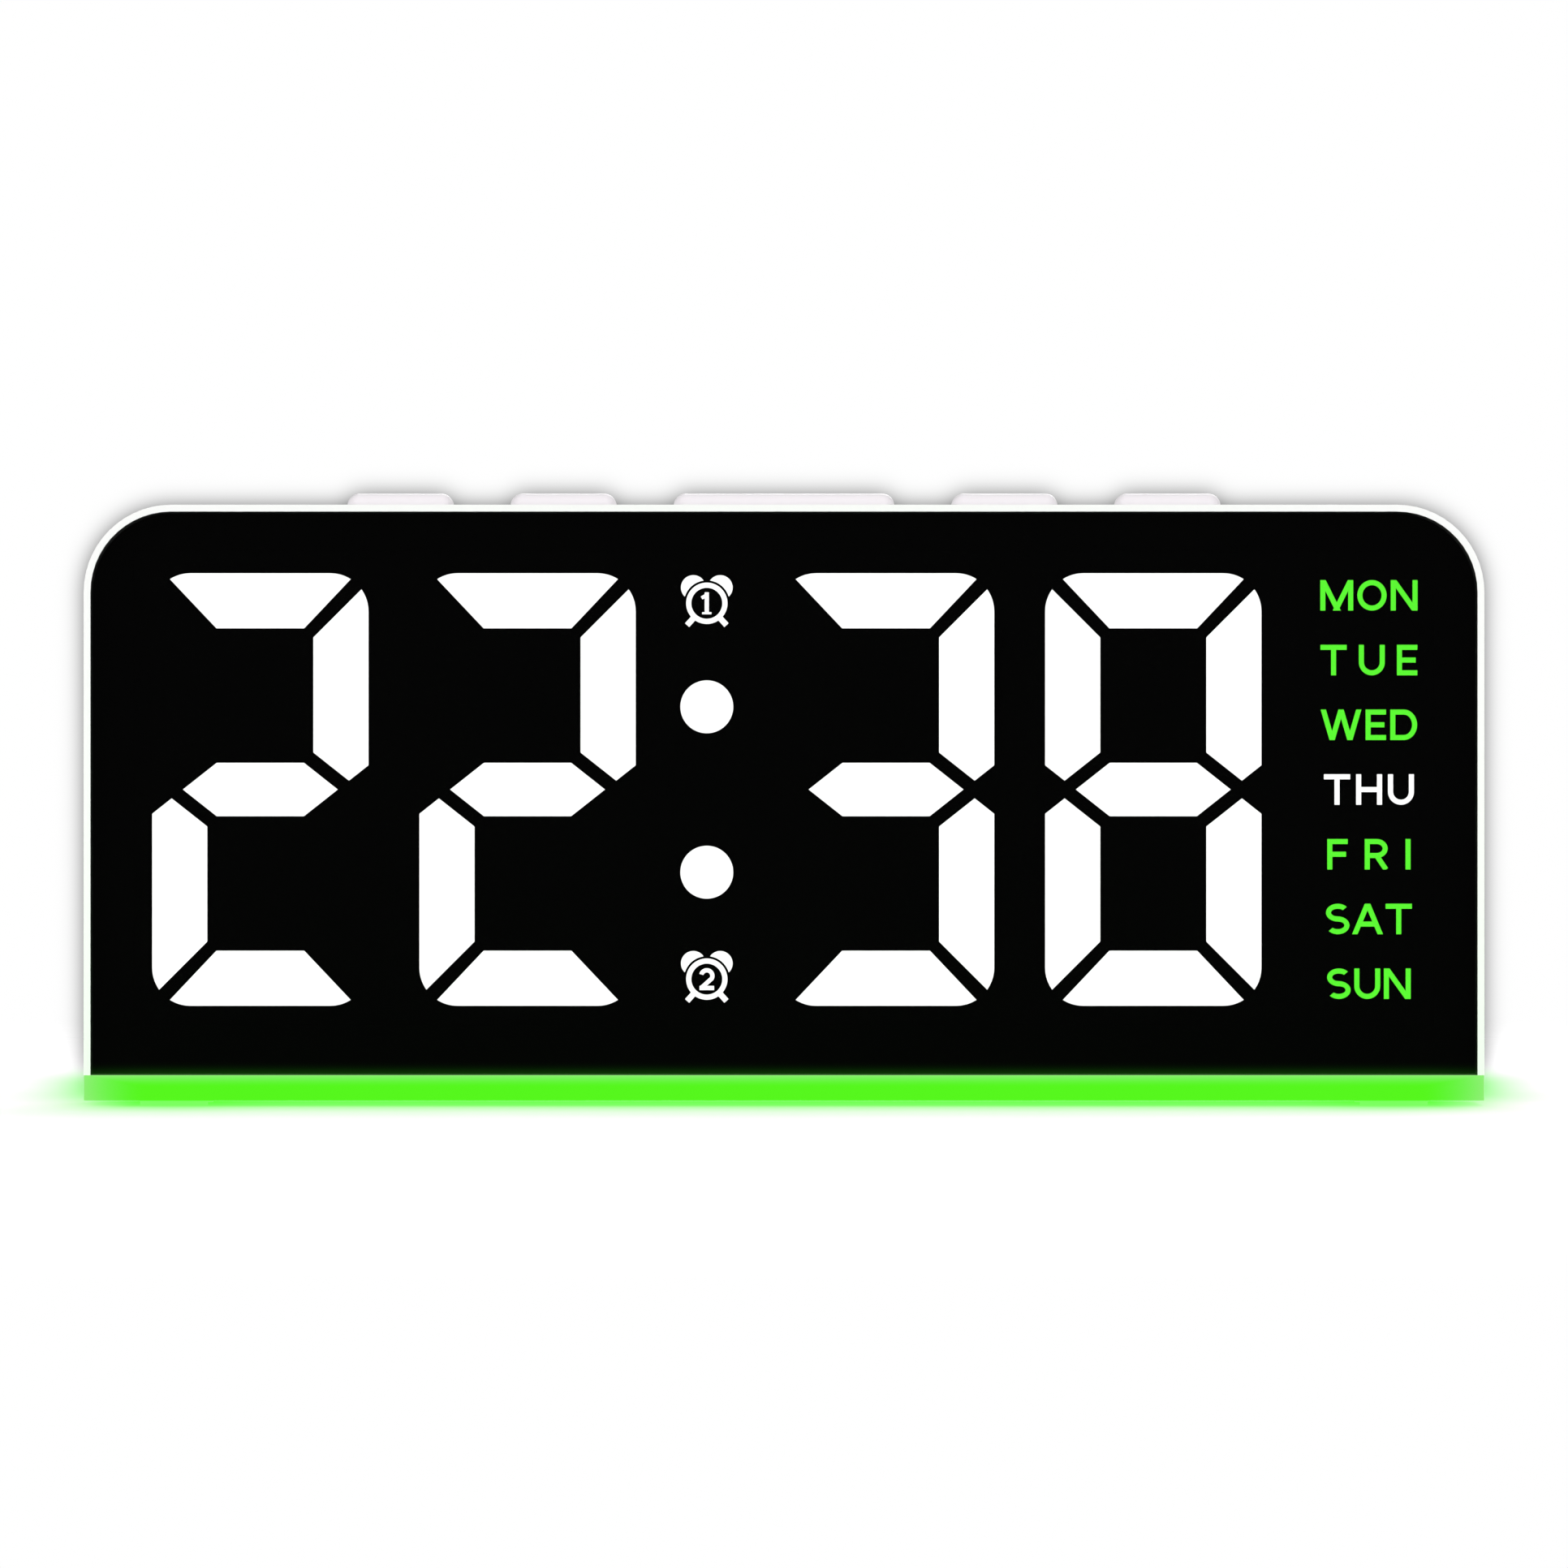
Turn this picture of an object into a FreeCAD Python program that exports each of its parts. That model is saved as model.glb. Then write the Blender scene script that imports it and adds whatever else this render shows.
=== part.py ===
import FreeCAD, Part
import math
import os
import Sketcher

# Bedside day clock: a white case with a smoked lens over a lit display, five keys on top, a glowing
# base and a battery bay behind. Millimetres, +Z up, X to the right, the front looks along -Y.
# The origin is at the middle of the footprint, on the surface that the feet stand on.

Vector = FreeCAD.Vector
document = FreeCAD.newDocument("day_clock")
sizes = document.addObject("Spreadsheet::Sheet", "sizes")
layout = document.addObject("App::VarSet", "layout")

DRIVING_SIZES = {
    # case
    "corner_radius": 10.3,
    "case_wall": 1.8,
    "floor_wall": 1.6,
    "cover_depth": 12,
    "back_edge_radius": 4,
    "flange_thickness": 1.5,
    "lip_depth": 1.5,
    "lip_thickness": 1,
    "lip_reach": 0.66,
    "fit_gap": 0.15,
    # lens and its tape
    "lens_rim": 0.8,
    "lens_inset": 0.1,
    "lens_gap": 0.05,
    "lens_thickness": 2,
    "tape_thickness": 0.2,
    "tape_width": 3,
    "tape_inset": 0.5,
    # display
    "window_side_border": 5,
    "window_low_border": 5,
    "window_top_border": 4.5,
    "mask_thickness": 0.3,
    "mask_gap": 0.5,
    "reflector_gap": 0.8,
    "reflector_side_gap": 1.1,
    "reflector_depth": 10,
    "diffuser_depth": 2,
    "display_side_margin": 3.02,
    "display_low_margin": 3.15,
    "display_top_margin": 3.55,
    "digit_width": 25.5,
    "digit_height": 51,
    "digit_gap": 6,
    "digit_corner_radius": 4.5,
    "bar_thickness": 6.5,
    "middle_bar_thickness": 6.3,
    "segment_gap": 1.52,
    "bar_cut_angle": 46.6,
    "middle_segment_gap": 1.64,
    "middle_tip_inset": 2.3,
    "middle_tip_angle": 38.3,
    "column_gap": 8.38,
    "dot_radius": 3.12,
    "dot_spacing": 19.5,
    "icon_radius": 2.44,
    "icon_line": 0.61,
    "icon_height": 22.15,
    "icon_drop": 0.2,
    "word_gap": 12.67,
    "word_side_margin": 8.55,
    "word_pitch": 7.63,
    "capital_height": 3.6,
    "letter_line": 0.6,
    "backing_margin": 0.5,
    "icon_backing": 7.6,
    # display board
    "board_thickness": 1.6,
    "board_edge_gap": 0.5,
    "board_low_gap": 2.7,
    "board_top_gap": 2.5,
    "board_corner_radius": 8.3,
    "led_size": 2.4,
    "led_height": 0.8,
    "display_post_radius": 1.9,
    "display_post_inset": 4,
    "display_post_low_inset": 16.4,
    "display_post_top_inset": 16.8,
    # what stands on the back of the display board
    "driver_chip_place": 48,
    "driver_chip_width": 13,
    "driver_chip_height": 7.6,
    "driver_chip_rise": 2.2,
    "driver_chip_pins": 10,
    "processor_place": 4,
    "processor_lift": 14,
    "processor_width": 10,
    "processor_height": 8,
    "processor_rise": 1.6,
    "processor_pins": 11,
    "chip_pin_reach": 1,
    "crystal_place": 19,
    "crystal_lift": 13,
    "crystal_width": 10,
    "crystal_thickness": 4,
    "crystal_rise": 3.5,
    "capacitor_place": 30,
    "capacitor_pitch": 8,
    "capacitor_drop": 16,
    "capacitor_radius": 3.1,
    "capacitor_rise": 5.6,
    "header_width": 16,
    "header_height": 4.5,
    "header_rise": 5,
    "header_drop": 15.75,
    # keys
    "small_key_width": 12.5,
    "snooze_key_width": 26.1,
    "key_spacing": 6.83,
    "key_depth": 11,
    "key_board_gap": 1.3,
    "key_seam_gap": 1.5,
    "key_rise": 1.5,
    "key_gap": 0.25,
    "key_edge_radius": 1.4,
    "key_collar": 0.9,
    "key_collar_thickness": 1,
    "key_collar_gap": 0.1,
    "key_stem": 4,
    "key_travel": 0.5,
    # key board and its switches
    "key_board_drop": 6.8,
    "key_board_end": 5,
    "key_board_depth": 13,
    "key_post_radius": 1.7,
    "key_post_gap": 2.8,
    "switch_width": 6.2,
    "switch_height": 3.5,
    "switch_floor": 0.6,
    "plunger_radius": 1.7,
    "plunger_gap": 0.1,
    "plunger_rise": 0.9,
    "dome_radius": 1.5,
    "dome_thickness": 0.3,
    # screws
    "screw_shank_radius": 1.1,
    "screw_hole_gap": 0.25,
    "screw_head_radius": 1.8,
    "screw_head_height": 1.3,
    "screw_bite": 5,
    "case_screw_length": 10,
    "case_screw_inset": 6,
    "case_screw_low_inset": 7.4,
    "case_screw_top_inset": 11.3,
    "case_boss_radius": 2.8,
    "case_boss_length": 14.5,
    "well_radius": 2.9,
    "well_post_radius": 4.4,
    "well_floor": 2,
    "screw_end_gap": 0.2,
    "power_screw_end_gap": 2,
    "rib_thickness": 1.6,
    # light base
    "foot_rise": 0.6,
    "foot_sink": 0.4,
    "foot_radius": 4,
    "foot_end_inset": 10.5,
    "foot_side_inset": 7,
    "base_height": 3,
    "base_corner_radius": 0.6,
    "base_floor": 1.2,
    "light_end_margin": 16.5,
    "light_front_margin": 8,
    "light_back_margin": 4,
    "light_board_overlap": 7,
    "light_board_depth_overlap": 2.4,
    "base_screw_inset": 3.2,
    "base_screw_end_inset": 1,
    "base_screw_bite": 2,
    "light_led_count": 9,
    "light_led_end_gap": 5,
    "light_led_size": 5,
    "light_led_height": 1.4,
    # battery bay
    "cell_radius": 5.2,
    "cell_length": 44.5,
    "cell_pitch": 10.8,
    "cell_count": 3,
    "cell_nub": 0.8,
    "bay_drop": 23,
    "bay_end_room": 3.2,
    "bay_low_room": 0.8,
    "bay_top_room": 1.4,
    "bay_wall": 1.2,
    "bay_floor_gap": 0.2,
    "bay_door_gap": 0.6,
    "door_ledge": 2,
    "door_gap": 0.2,
    "door_thickness": 1.7,
    "door_tab_width": 6,
    "door_tab_place": 15,
    "door_tab_length": 1.4,
    "door_tab_thickness": 0.8,
    "door_tab_root": 0.5,
    "latch_width": 10,
    "latch_depth": 3.3,
    "latch_thickness": 0.8,
    "latch_gap": 0.6,
    "door_corner_radius": 1.5,
    "notch_width": 12,
    "notch_height": 2.4,
    "notch_depth": 0.8,
    "grip_count": 4,
    "grip_width": 16,
    "grip_pitch": 2.2,
    "grip_line": 0.8,
    "grip_depth": 0.35,
    "tab_skin": 0.7,
    "leaf_foot": 3.6,
    "leaf_tip": 1.3,
    "leaf_thickness": 0.4,
    "leaf_width": 5,
    "plate_thickness": 0.3,
    "plate_size": 8,
    # sound and power
    "buzzer_radius": 6.5,
    "buzzer_height": 4,
    "buzzer_inset": 28.5,
    "buzzer_hole_radius": 1.2,
    "buzzer_hole_depth": 1.5,
    "slot_count": 7,
    "slot_pitch": 2.6,
    "slot_width": 1.3,
    "slot_height": 15,
    "socket_inset": 28.5,
    "socket_width": 8.9,
    "socket_height": 3.3,
    "socket_depth": 7.4,
    "socket_wall": 0.3,
    "socket_gap": 0.25,
    "socket_back_wall": 1,
    "tongue_thickness": 0.7,
    "tongue_root": 0.5,
    "tongue_inset": 1,
    "power_board_width": 28,
    "power_board_depth": 8.4,
    "power_board_lift": 5.2,
    "power_board_back_gap": 0.6,
    "power_post_radius": 2.2,
    "power_post_place": 10.5,
}

for row, (alias, number) in enumerate(DRIVING_SIZES.items(), start=1):
    sizes.set(f"A{row}", alias.replace("_", " "))
    sizes.set(f"B{row}", str(number))
    sizes.setAlias(f"B{row}", alias)
document.recompute()

# Places that several pieces share, each worked out once from the driving sizes.
PLACES = {
    "digit_pair": "2 * sizes.digit_width + sizes.digit_gap",
    "window_half_width": "(sizes.display_side_margin + 2 * layout.digit_pair"
                         " + 2 * sizes.column_gap + sizes.word_gap + sizes.word_side_margin) / 2",
    "half_width": "layout.window_half_width + sizes.window_side_border",
    "display_left": "sizes.display_side_margin - layout.window_half_width",
    "hours_middle": "layout.display_left + layout.digit_pair / 2",
    "centre_column": "layout.display_left + layout.digit_pair + sizes.column_gap",
    "minutes_middle": "layout.centre_column + sizes.column_gap + layout.digit_pair / 2",
    "word_column": "layout.minutes_middle + layout.digit_pair / 2 + sizes.word_gap",
    "digit_pitch": "sizes.digit_width + sizes.digit_gap",
    "front_stack": "sizes.lens_inset + sizes.lens_thickness + sizes.tape_thickness"
                   " + sizes.mask_thickness + sizes.reflector_depth + sizes.board_thickness",
    "case_depth": "layout.front_stack + sizes.key_board_gap + sizes.key_board_depth"
                  " + sizes.key_seam_gap + sizes.cover_depth",
    "front": "-layout.case_depth / 2",
    "back": "layout.case_depth / 2",
    "seam": "layout.back - sizes.cover_depth",
    "key_place_y": "layout.front + layout.front_stack + sizes.key_board_gap"
                   " + sizes.key_board_depth / 2",
    "inner_key_place": "sizes.snooze_key_width / 2 + sizes.key_spacing + sizes.small_key_width / 2",
    "outer_key_place": "layout.inner_key_place + sizes.small_key_width + sizes.key_spacing",
    "inner_post_place": "(layout.inner_key_place + layout.outer_key_place) / 2",
    "outer_post_place": "layout.outer_key_place + sizes.small_key_width / 2 + sizes.key_collar"
                        " + sizes.key_post_radius + sizes.key_post_gap",
    "key_board_half_width": "layout.outer_post_place + sizes.key_board_end",
    "bottom": "sizes.foot_rise + sizes.base_height",
    "window_low": "layout.bottom + sizes.window_low_border",
    "display_middle": "layout.window_low + sizes.display_low_margin + sizes.digit_height / 2",
    "window_high": "layout.display_middle + sizes.digit_height / 2 + sizes.display_top_margin",
    "top": "layout.window_high + sizes.window_top_border",
    "case_screw_place": "layout.half_width - sizes.case_screw_inset",
    "case_screw_low": "layout.bottom + sizes.case_screw_low_inset",
    "case_screw_high": "layout.top - sizes.case_screw_top_inset",
    "display_post_low": "layout.bottom + sizes.display_post_low_inset",
    "display_post_high": "layout.top - sizes.display_post_top_inset",
    "foot_place_x": "layout.half_width - sizes.foot_end_inset",
    "foot_place_y": "layout.back - sizes.foot_side_inset",
    "light_half_width": "layout.half_width - sizes.light_end_margin",
    "light_front_y": "layout.front + sizes.light_front_margin",
    "light_back_y": "layout.seam - sizes.light_back_margin",
    "light_led_pitch": "2 * (layout.light_half_width - sizes.light_led_end_gap"
                       " - sizes.light_led_size / 2) / (sizes.light_led_count - 1)",
    "buzzer_place_x": "layout.half_width - sizes.buzzer_inset",
    "socket_place_x": "sizes.socket_inset - layout.half_width",
    "inner_half_width": "layout.half_width - sizes.case_wall",
    "floor": "layout.bottom + sizes.floor_wall",
    "ceiling": "layout.top - sizes.case_wall",
    "back_wall": "layout.back - sizes.case_wall",
    "lens_half_width": "layout.half_width - sizes.lens_rim",
    "lens_top": "layout.top - sizes.lens_rim",
    "lens_corner": "sizes.corner_radius - sizes.lens_rim",
    "lens_front": "layout.front + sizes.lens_inset",
    "lens_back": "layout.lens_front + sizes.lens_thickness",
    "flange_front": "layout.lens_back + sizes.tape_thickness",
    "flange_back": "layout.flange_front + sizes.flange_thickness",
    "mask_back": "layout.flange_front + sizes.mask_thickness",
    "reflector_half_width": "layout.window_half_width - sizes.reflector_side_gap",
    "reflector_low": "layout.window_low + sizes.reflector_gap",
    "reflector_high": "layout.window_high - sizes.reflector_gap",
    "diffuser_back": "layout.mask_back + sizes.diffuser_depth",
    "board_front": "layout.mask_back + sizes.reflector_depth",
    "board_back": "layout.board_front + sizes.board_thickness",
    "board_half_width": "layout.inner_half_width - sizes.board_edge_gap",
    "board_low": "layout.floor + sizes.board_low_gap",
    "board_high": "layout.ceiling - sizes.board_top_gap",
    "display_post_x": "layout.half_width - sizes.display_post_inset",
    "key_board_top": "layout.ceiling - sizes.key_board_drop",
    "key_board_low": "layout.key_board_top - sizes.board_thickness",
    "bay_middle": "layout.key_board_low - sizes.bay_drop",
    "switch_top": "layout.key_board_top + sizes.switch_height",
    "plunger_top": "layout.switch_top + sizes.plunger_rise",
    "plunger_low": "layout.key_board_top + sizes.switch_floor + sizes.dome_thickness"
                   " + sizes.key_travel + sizes.plunger_gap",
    "collar_top": "layout.ceiling - sizes.key_collar_gap",
    "collar_low": "layout.collar_top - sizes.key_collar_thickness",
    "boss_front": "layout.seam - sizes.case_boss_length",
    "well_depth_y": "layout.seam + sizes.well_floor",
    "light_board_half_width": "layout.light_half_width + sizes.light_board_overlap",
    "light_board_front": "layout.light_front_y - sizes.light_board_depth_overlap",
    "light_board_back": "layout.light_back_y + sizes.light_board_depth_overlap",
    "light_board_top": "layout.floor + sizes.board_thickness",
    "base_screw_x": "layout.light_half_width + sizes.base_screw_inset",
    "bay_half_width": "sizes.cell_length / 2 + sizes.bay_end_room",
    "bay_cells_half": "sizes.cell_pitch * (sizes.cell_count - 1) / 2 + sizes.cell_radius",
    "bay_low": "layout.bay_middle - layout.bay_cells_half - sizes.bay_low_room",
    "bay_high": "layout.bay_middle + layout.bay_cells_half + sizes.bay_top_room",
    "door_half_width": "layout.bay_half_width + sizes.door_ledge",
    "door_low": "layout.bay_low - sizes.door_ledge",
    "door_high": "layout.bay_high + sizes.door_ledge",
    "door_inner": "layout.back - sizes.door_thickness",
    "recess_floor": "layout.door_inner - sizes.door_gap / 2",
    "cell_y": "layout.recess_floor - sizes.bay_door_gap - sizes.cell_radius",
    "bay_floor_y": "layout.cell_y - sizes.cell_radius - sizes.bay_floor_gap",
    "bay_front_y": "layout.bay_floor_y - sizes.bay_wall",
    "tab_slot_y": "layout.recess_floor - sizes.door_tab_length - sizes.door_tab_thickness",
    "base_screw_front_y": "layout.light_front_y + sizes.base_screw_end_inset",
    "base_screw_back_y": "layout.light_back_y - sizes.base_screw_end_inset",
    "power_board_low": "layout.floor + sizes.power_board_lift",
    "power_board_high": "layout.power_board_low + sizes.board_thickness",
    "power_board_back_y": "layout.back_wall - sizes.power_board_back_gap",
    "power_board_middle_y": "layout.power_board_back_y - sizes.power_board_depth / 2",
    "socket_z": "layout.power_board_high + sizes.socket_height / 2",
}

for name, formula in PLACES.items():
    layout.addProperty("App::PropertyFloat", name)
    layout.setExpression(name, formula)
document.recompute()


def value(name):
    """The number behind a driving size or a worked-out place."""
    return float(getattr(sizes if name in DRIVING_SIZES else layout, name))


# ---------------------------------------------------------------- helpers for bodies and sketches

def new_body(name):
    body = document.addObject("PartDesign::Body", name)
    body.Label = name
    return body


def sketch_on(body, plane, offset):
    """A sketch on an origin plane of the body, moved along the plane's own normal by a formula.
    XY_Plane looks along +Z, XZ_Plane along -Y and YZ_Plane along +X."""
    sketch = body.newObject("Sketcher::SketchObject", body.Name + "_sketch")
    planes = {feature.Role: feature for feature in body.Origin.OriginFeatures}
    sketch.AttachmentSupport = [(planes[plane], "")]
    sketch.MapMode = "FlatFace"
    sketch.setExpression("AttachmentOffset.Base.z", offset)
    return sketch


def place_point(sketch, direction, geometry, point, start, formula):
    """Holds a point of the sketch at a signed distance from the origin."""
    constraint = sketch.addConstraint(
        Sketcher.Constraint(direction, -1, 1, geometry, point, start))
    sketch.setExpression(f"Constraints[{constraint}]", formula)


def add_rectangle(sketch, left, right, low, high):
    first = sketch.GeometryCount
    corners = [Vector(-1, -1, 0), Vector(1, -1, 0), Vector(1, 1, 0), Vector(-1, 1, 0)]
    sides = [Part.LineSegment(corners[i], corners[(i + 1) % 4]) for i in range(4)]
    sketch.addGeometry(sides, False)
    for i in range(4):
        sketch.addConstraint(
            Sketcher.Constraint("Coincident", first + i, 2, first + (i + 1) % 4, 1))
        direction = "Horizontal" if i % 2 == 0 else "Vertical"
        sketch.addConstraint(Sketcher.Constraint(direction, first + i))
    place_point(sketch, "DistanceX", first, 1, -1, left)
    place_point(sketch, "DistanceX", first, 2, 1, right)
    place_point(sketch, "DistanceY", first, 1, -1, low)
    place_point(sketch, "DistanceY", first + 2, 1, 1, high)


def add_circle(sketch, across, up, radius):
    circle = sketch.addGeometry(Part.Circle(Vector(1, 1, 0), Vector(0, 0, 1), 1), False)
    if across == "0":
        sketch.addConstraint(Sketcher.Constraint("PointOnObject", circle, 3, -2))
    else:
        place_point(sketch, "DistanceX", circle, 3, 1, across)
    place_point(sketch, "DistanceY", circle, 3, 1, up)
    constraint = sketch.addConstraint(Sketcher.Constraint("Radius", circle, 1))
    sketch.setExpression(f"Constraints[{constraint}]", radius)


def pad(body, sketch, length, backwards=False):
    feature = body.newObject("PartDesign::Pad", body.Name + "_pad")
    feature.Profile = sketch
    feature.setExpression("Length", length)
    feature.Reversed = backwards
    document.recompute()
    return feature


def pocket(body, sketch, length, backwards=False):
    """Cuts the sketch into the body, and stops if nothing was cut."""
    before = body.Shape.Volume
    feature = body.newObject("PartDesign::Pocket", body.Name + "_pocket")
    feature.Profile = sketch
    feature.setExpression("Length", length)
    feature.Reversed = backwards
    document.recompute()
    if body.Shape.Volume > before - 1e-6:
        raise RuntimeError(f"{feature.Name} of {body.Name} cuts nothing")
    return feature


def fillet(body, base, radius, wanted):
    """Rounds the edges of the base feature whose middle point and length suit the given test."""
    names = [f"Edge{number}" for number, edge in enumerate(base.Shape.Edges, start=1)
             if wanted(edge, edge.CenterOfMass)]
    if not names:
        raise RuntimeError(f"no edge of {body.Name} to round")
    feature = body.newObject("PartDesign::Fillet", body.Name + "_fillet")
    feature.Base = (base, names)
    feature.setExpression("Radius", radius)
    document.recompute()
    return feature


def near(number, wanted, slack=0.01):
    return abs(number - wanted) < slack


def runs_along(edge, direction):
    """True for a straight edge that is parallel to the direction."""
    if edge.Curve.TypeId != "Part::GeomLine":
        return False
    run = edge.Vertexes[-1].Point - edge.Vertexes[0].Point
    return run.normalize().cross(direction).Length < 1e-6


ALONG_X = Vector(1, 0, 0)
ALONG_Y = Vector(0, 1, 0)
ALONG_Z = Vector(0, 0, 1)


# ---------------------------------------------------------------- case mouldings and lens

def both_sides(place):
    """The formulas of a place on the right and of its mirror on the left."""
    return (place, f"-({place})")


def add_case_screw_circles(sketch, radius):
    for across in both_sides("layout.case_screw_place"):
        add_circle(sketch, across, "layout.case_screw_low", radius)
        add_circle(sketch, across, "layout.case_screw_high", radius)


def add_display_post_circles(sketch, radius):
    for across in both_sides("layout.display_post_x"):
        add_circle(sketch, across, "layout.display_post_low", radius)
        add_circle(sketch, across, "layout.display_post_high", radius)


def add_key_post_circles(sketch, radius):
    for place in ("layout.inner_post_place", "layout.outer_post_place"):
        for across in both_sides(place):
            add_circle(sketch, across, "layout.key_place_y", radius)


def add_base_screw_circles(sketch, radius):
    for across in both_sides("layout.base_screw_x"):
        add_circle(sketch, across, "layout.base_screw_front_y", radius)
        add_circle(sketch, across, "layout.base_screw_back_y", radius)


KEYS = {
    "outer_left_button": ("-layout.outer_key_place", "sizes.small_key_width"),
    "inner_left_button": ("-layout.inner_key_place", "sizes.small_key_width"),
    "snooze_button": ("0", "sizes.snooze_key_width"),
    "inner_right_button": ("layout.inner_key_place", "sizes.small_key_width"),
    "outer_right_button": ("layout.outer_key_place", "sizes.small_key_width"),
}


def add_key_rectangle(sketch, name, margin):
    """The outline of a key seen from above, grown all round by the margin."""
    place, width = KEYS[name]
    half = f"{width} / 2 + {margin}"
    half_depth = f"sizes.key_depth / 2 + {margin}"
    add_rectangle(sketch, f"{place} - ({half})", f"{place} + {half}",
                  f"layout.key_place_y - ({half_depth})", f"layout.key_place_y + {half_depth}")


def make_front_shell():
    """The front moulding: rim, top, sides and floor, and a flange that the lens is stuck to."""
    body = new_body("front_shell")
    outline = sketch_on(body, "XZ_Plane", "-layout.front")
    add_rectangle(outline, "-layout.half_width", "layout.half_width", "layout.bottom", "layout.top")
    pad(body, outline, "layout.seam - layout.front", backwards=True)
    inside = sketch_on(body, "XZ_Plane", "-layout.seam")
    add_rectangle(inside, "-layout.inner_half_width", "layout.inner_half_width",
                  "layout.floor", "layout.ceiling")
    cavity = pocket(body, inside, "layout.seam - layout.flange_back", backwards=True)
    fillet(body, cavity, "sizes.corner_radius - sizes.case_wall",
           lambda edge, middle: runs_along(edge, ALONG_Y) and near(middle.z, value("ceiling")))

    lens_seat = sketch_on(body, "XZ_Plane", "-layout.front")
    add_rectangle(lens_seat, "-layout.lens_half_width", "layout.lens_half_width",
                  "layout.bottom - sizes.lens_rim", "layout.lens_top")
    recess = pocket(body, lens_seat, "layout.flange_front - layout.front")
    rounded = fillet(
        body, recess, "layout.lens_corner",
        lambda edge, middle: runs_along(edge, ALONG_Y) and near(middle.z, value("lens_top"))
        and near(abs(middle.x), value("lens_half_width")))
    fillet(body, rounded, "sizes.corner_radius",
           lambda edge, middle: runs_along(edge, ALONG_Y) and near(middle.z, value("top")))

    window = sketch_on(body, "XZ_Plane", "-layout.flange_front")
    add_rectangle(window, "-layout.window_half_width", "layout.window_half_width",
                  "layout.window_low", "layout.window_high")
    pocket(body, window, "sizes.flange_thickness")

    key_windows = sketch_on(body, "XY_Plane", "layout.top")
    for name in KEYS:
        add_key_rectangle(key_windows, name, "sizes.key_gap")
    openings = pocket(body, key_windows, "sizes.case_wall")
    fillet(body, openings, "sizes.key_edge_radius + sizes.key_gap",
           lambda edge, middle: runs_along(edge, ALONG_Z) and middle.z > value("ceiling")
           and near(edge.Length, value("case_wall")))

    light_window = sketch_on(body, "XY_Plane", "layout.floor")
    add_rectangle(light_window, "-layout.light_half_width", "layout.light_half_width",
                  "layout.light_front_y", "layout.light_back_y")
    add_base_screw_circles(light_window, "sizes.screw_shank_radius + sizes.screw_hole_gap")
    pocket(body, light_window, "sizes.floor_wall")
    add_shell_bosses(body)
    return body


def add_shell_bosses(body):
    """Ribbed bosses for the case screws, posts for the display board and for the key board."""
    bosses = sketch_on(body, "XZ_Plane", "-layout.boss_front")
    add_case_screw_circles(bosses, "sizes.case_boss_radius")
    pad(body, bosses, "sizes.case_boss_length", backwards=True)
    ribs = sketch_on(body, "XZ_Plane", "-layout.boss_front")
    for height in ("layout.case_screw_low", "layout.case_screw_high"):
        low = f"{height} - sizes.rib_thickness / 2"
        high = f"{height} + sizes.rib_thickness / 2"
        wall = "layout.inner_half_width + sizes.case_wall / 4"
        edge = "layout.case_screw_place + sizes.case_boss_radius / 2"
        add_rectangle(ribs, edge, wall, low, high)
        add_rectangle(ribs, f"-({wall})", f"-({edge})", low, high)
    pad(body, ribs, "sizes.case_boss_length", backwards=True)
    threads = sketch_on(body, "XZ_Plane", "-layout.seam")
    add_case_screw_circles(threads, "sizes.screw_shank_radius")
    pocket(body, threads, "sizes.case_screw_length - sizes.well_floor", backwards=True)

    display_posts = sketch_on(body, "XZ_Plane", "-layout.flange_back")
    add_display_post_circles(display_posts, "sizes.display_post_radius")
    pad(body, display_posts, "layout.board_front - layout.flange_back", backwards=True)
    display_threads = sketch_on(body, "XZ_Plane", "-layout.board_front")
    add_display_post_circles(display_threads, "sizes.screw_shank_radius")
    pocket(body, display_threads, "sizes.screw_bite", backwards=True)

    key_posts = sketch_on(body, "XY_Plane", "layout.key_board_top")
    add_key_post_circles(key_posts, "sizes.key_post_radius")
    pad(body, key_posts, "sizes.key_board_drop")
    key_threads = sketch_on(body, "XY_Plane", "layout.key_board_top")
    add_key_post_circles(key_threads, "sizes.screw_shank_radius")
    pocket(body, key_threads, "sizes.screw_bite", backwards=True)


def make_front_lens():
    """Smoked acrylic, square below and rounded above like the rim around it."""
    body = new_body("front_lens")
    outline = sketch_on(body, "XZ_Plane", "-layout.lens_front")
    half = "layout.lens_half_width - sizes.lens_gap"
    add_rectangle(outline, f"-({half})", half, "layout.bottom", "layout.lens_top - sizes.lens_gap")
    sheet = pad(body, outline, "sizes.lens_thickness", backwards=True)
    fillet(body, sheet, "layout.lens_corner - sizes.lens_gap",
           lambda edge, middle: runs_along(edge, ALONG_Y) and middle.z > value("display_middle"))
    return body


def make_lens_tape():
    """A frame of double-sided tape between the lens and the flange of the shell."""
    body = new_body("lens_tape")
    outline = sketch_on(body, "XZ_Plane", "-layout.lens_back")
    half = "layout.lens_half_width - sizes.tape_inset"
    inner = f"{half} - sizes.tape_width"
    low = "layout.bottom + sizes.tape_inset"
    high = "layout.lens_top - sizes.tape_inset"
    add_rectangle(outline, f"-({half})", half, low, high)
    frame = pad(body, outline, "sizes.tape_thickness", backwards=True)
    fillet(body, frame, "layout.lens_corner - sizes.tape_inset",
           lambda edge, middle: runs_along(edge, ALONG_Y) and middle.z > value("display_middle"))
    opening = sketch_on(body, "XZ_Plane", "-layout.lens_back")
    add_rectangle(opening, f"-({inner})", inner, f"{low} + sizes.tape_width",
                  f"{high} - sizes.tape_width")
    pocket(body, opening, "sizes.tape_thickness")
    return body


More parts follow.
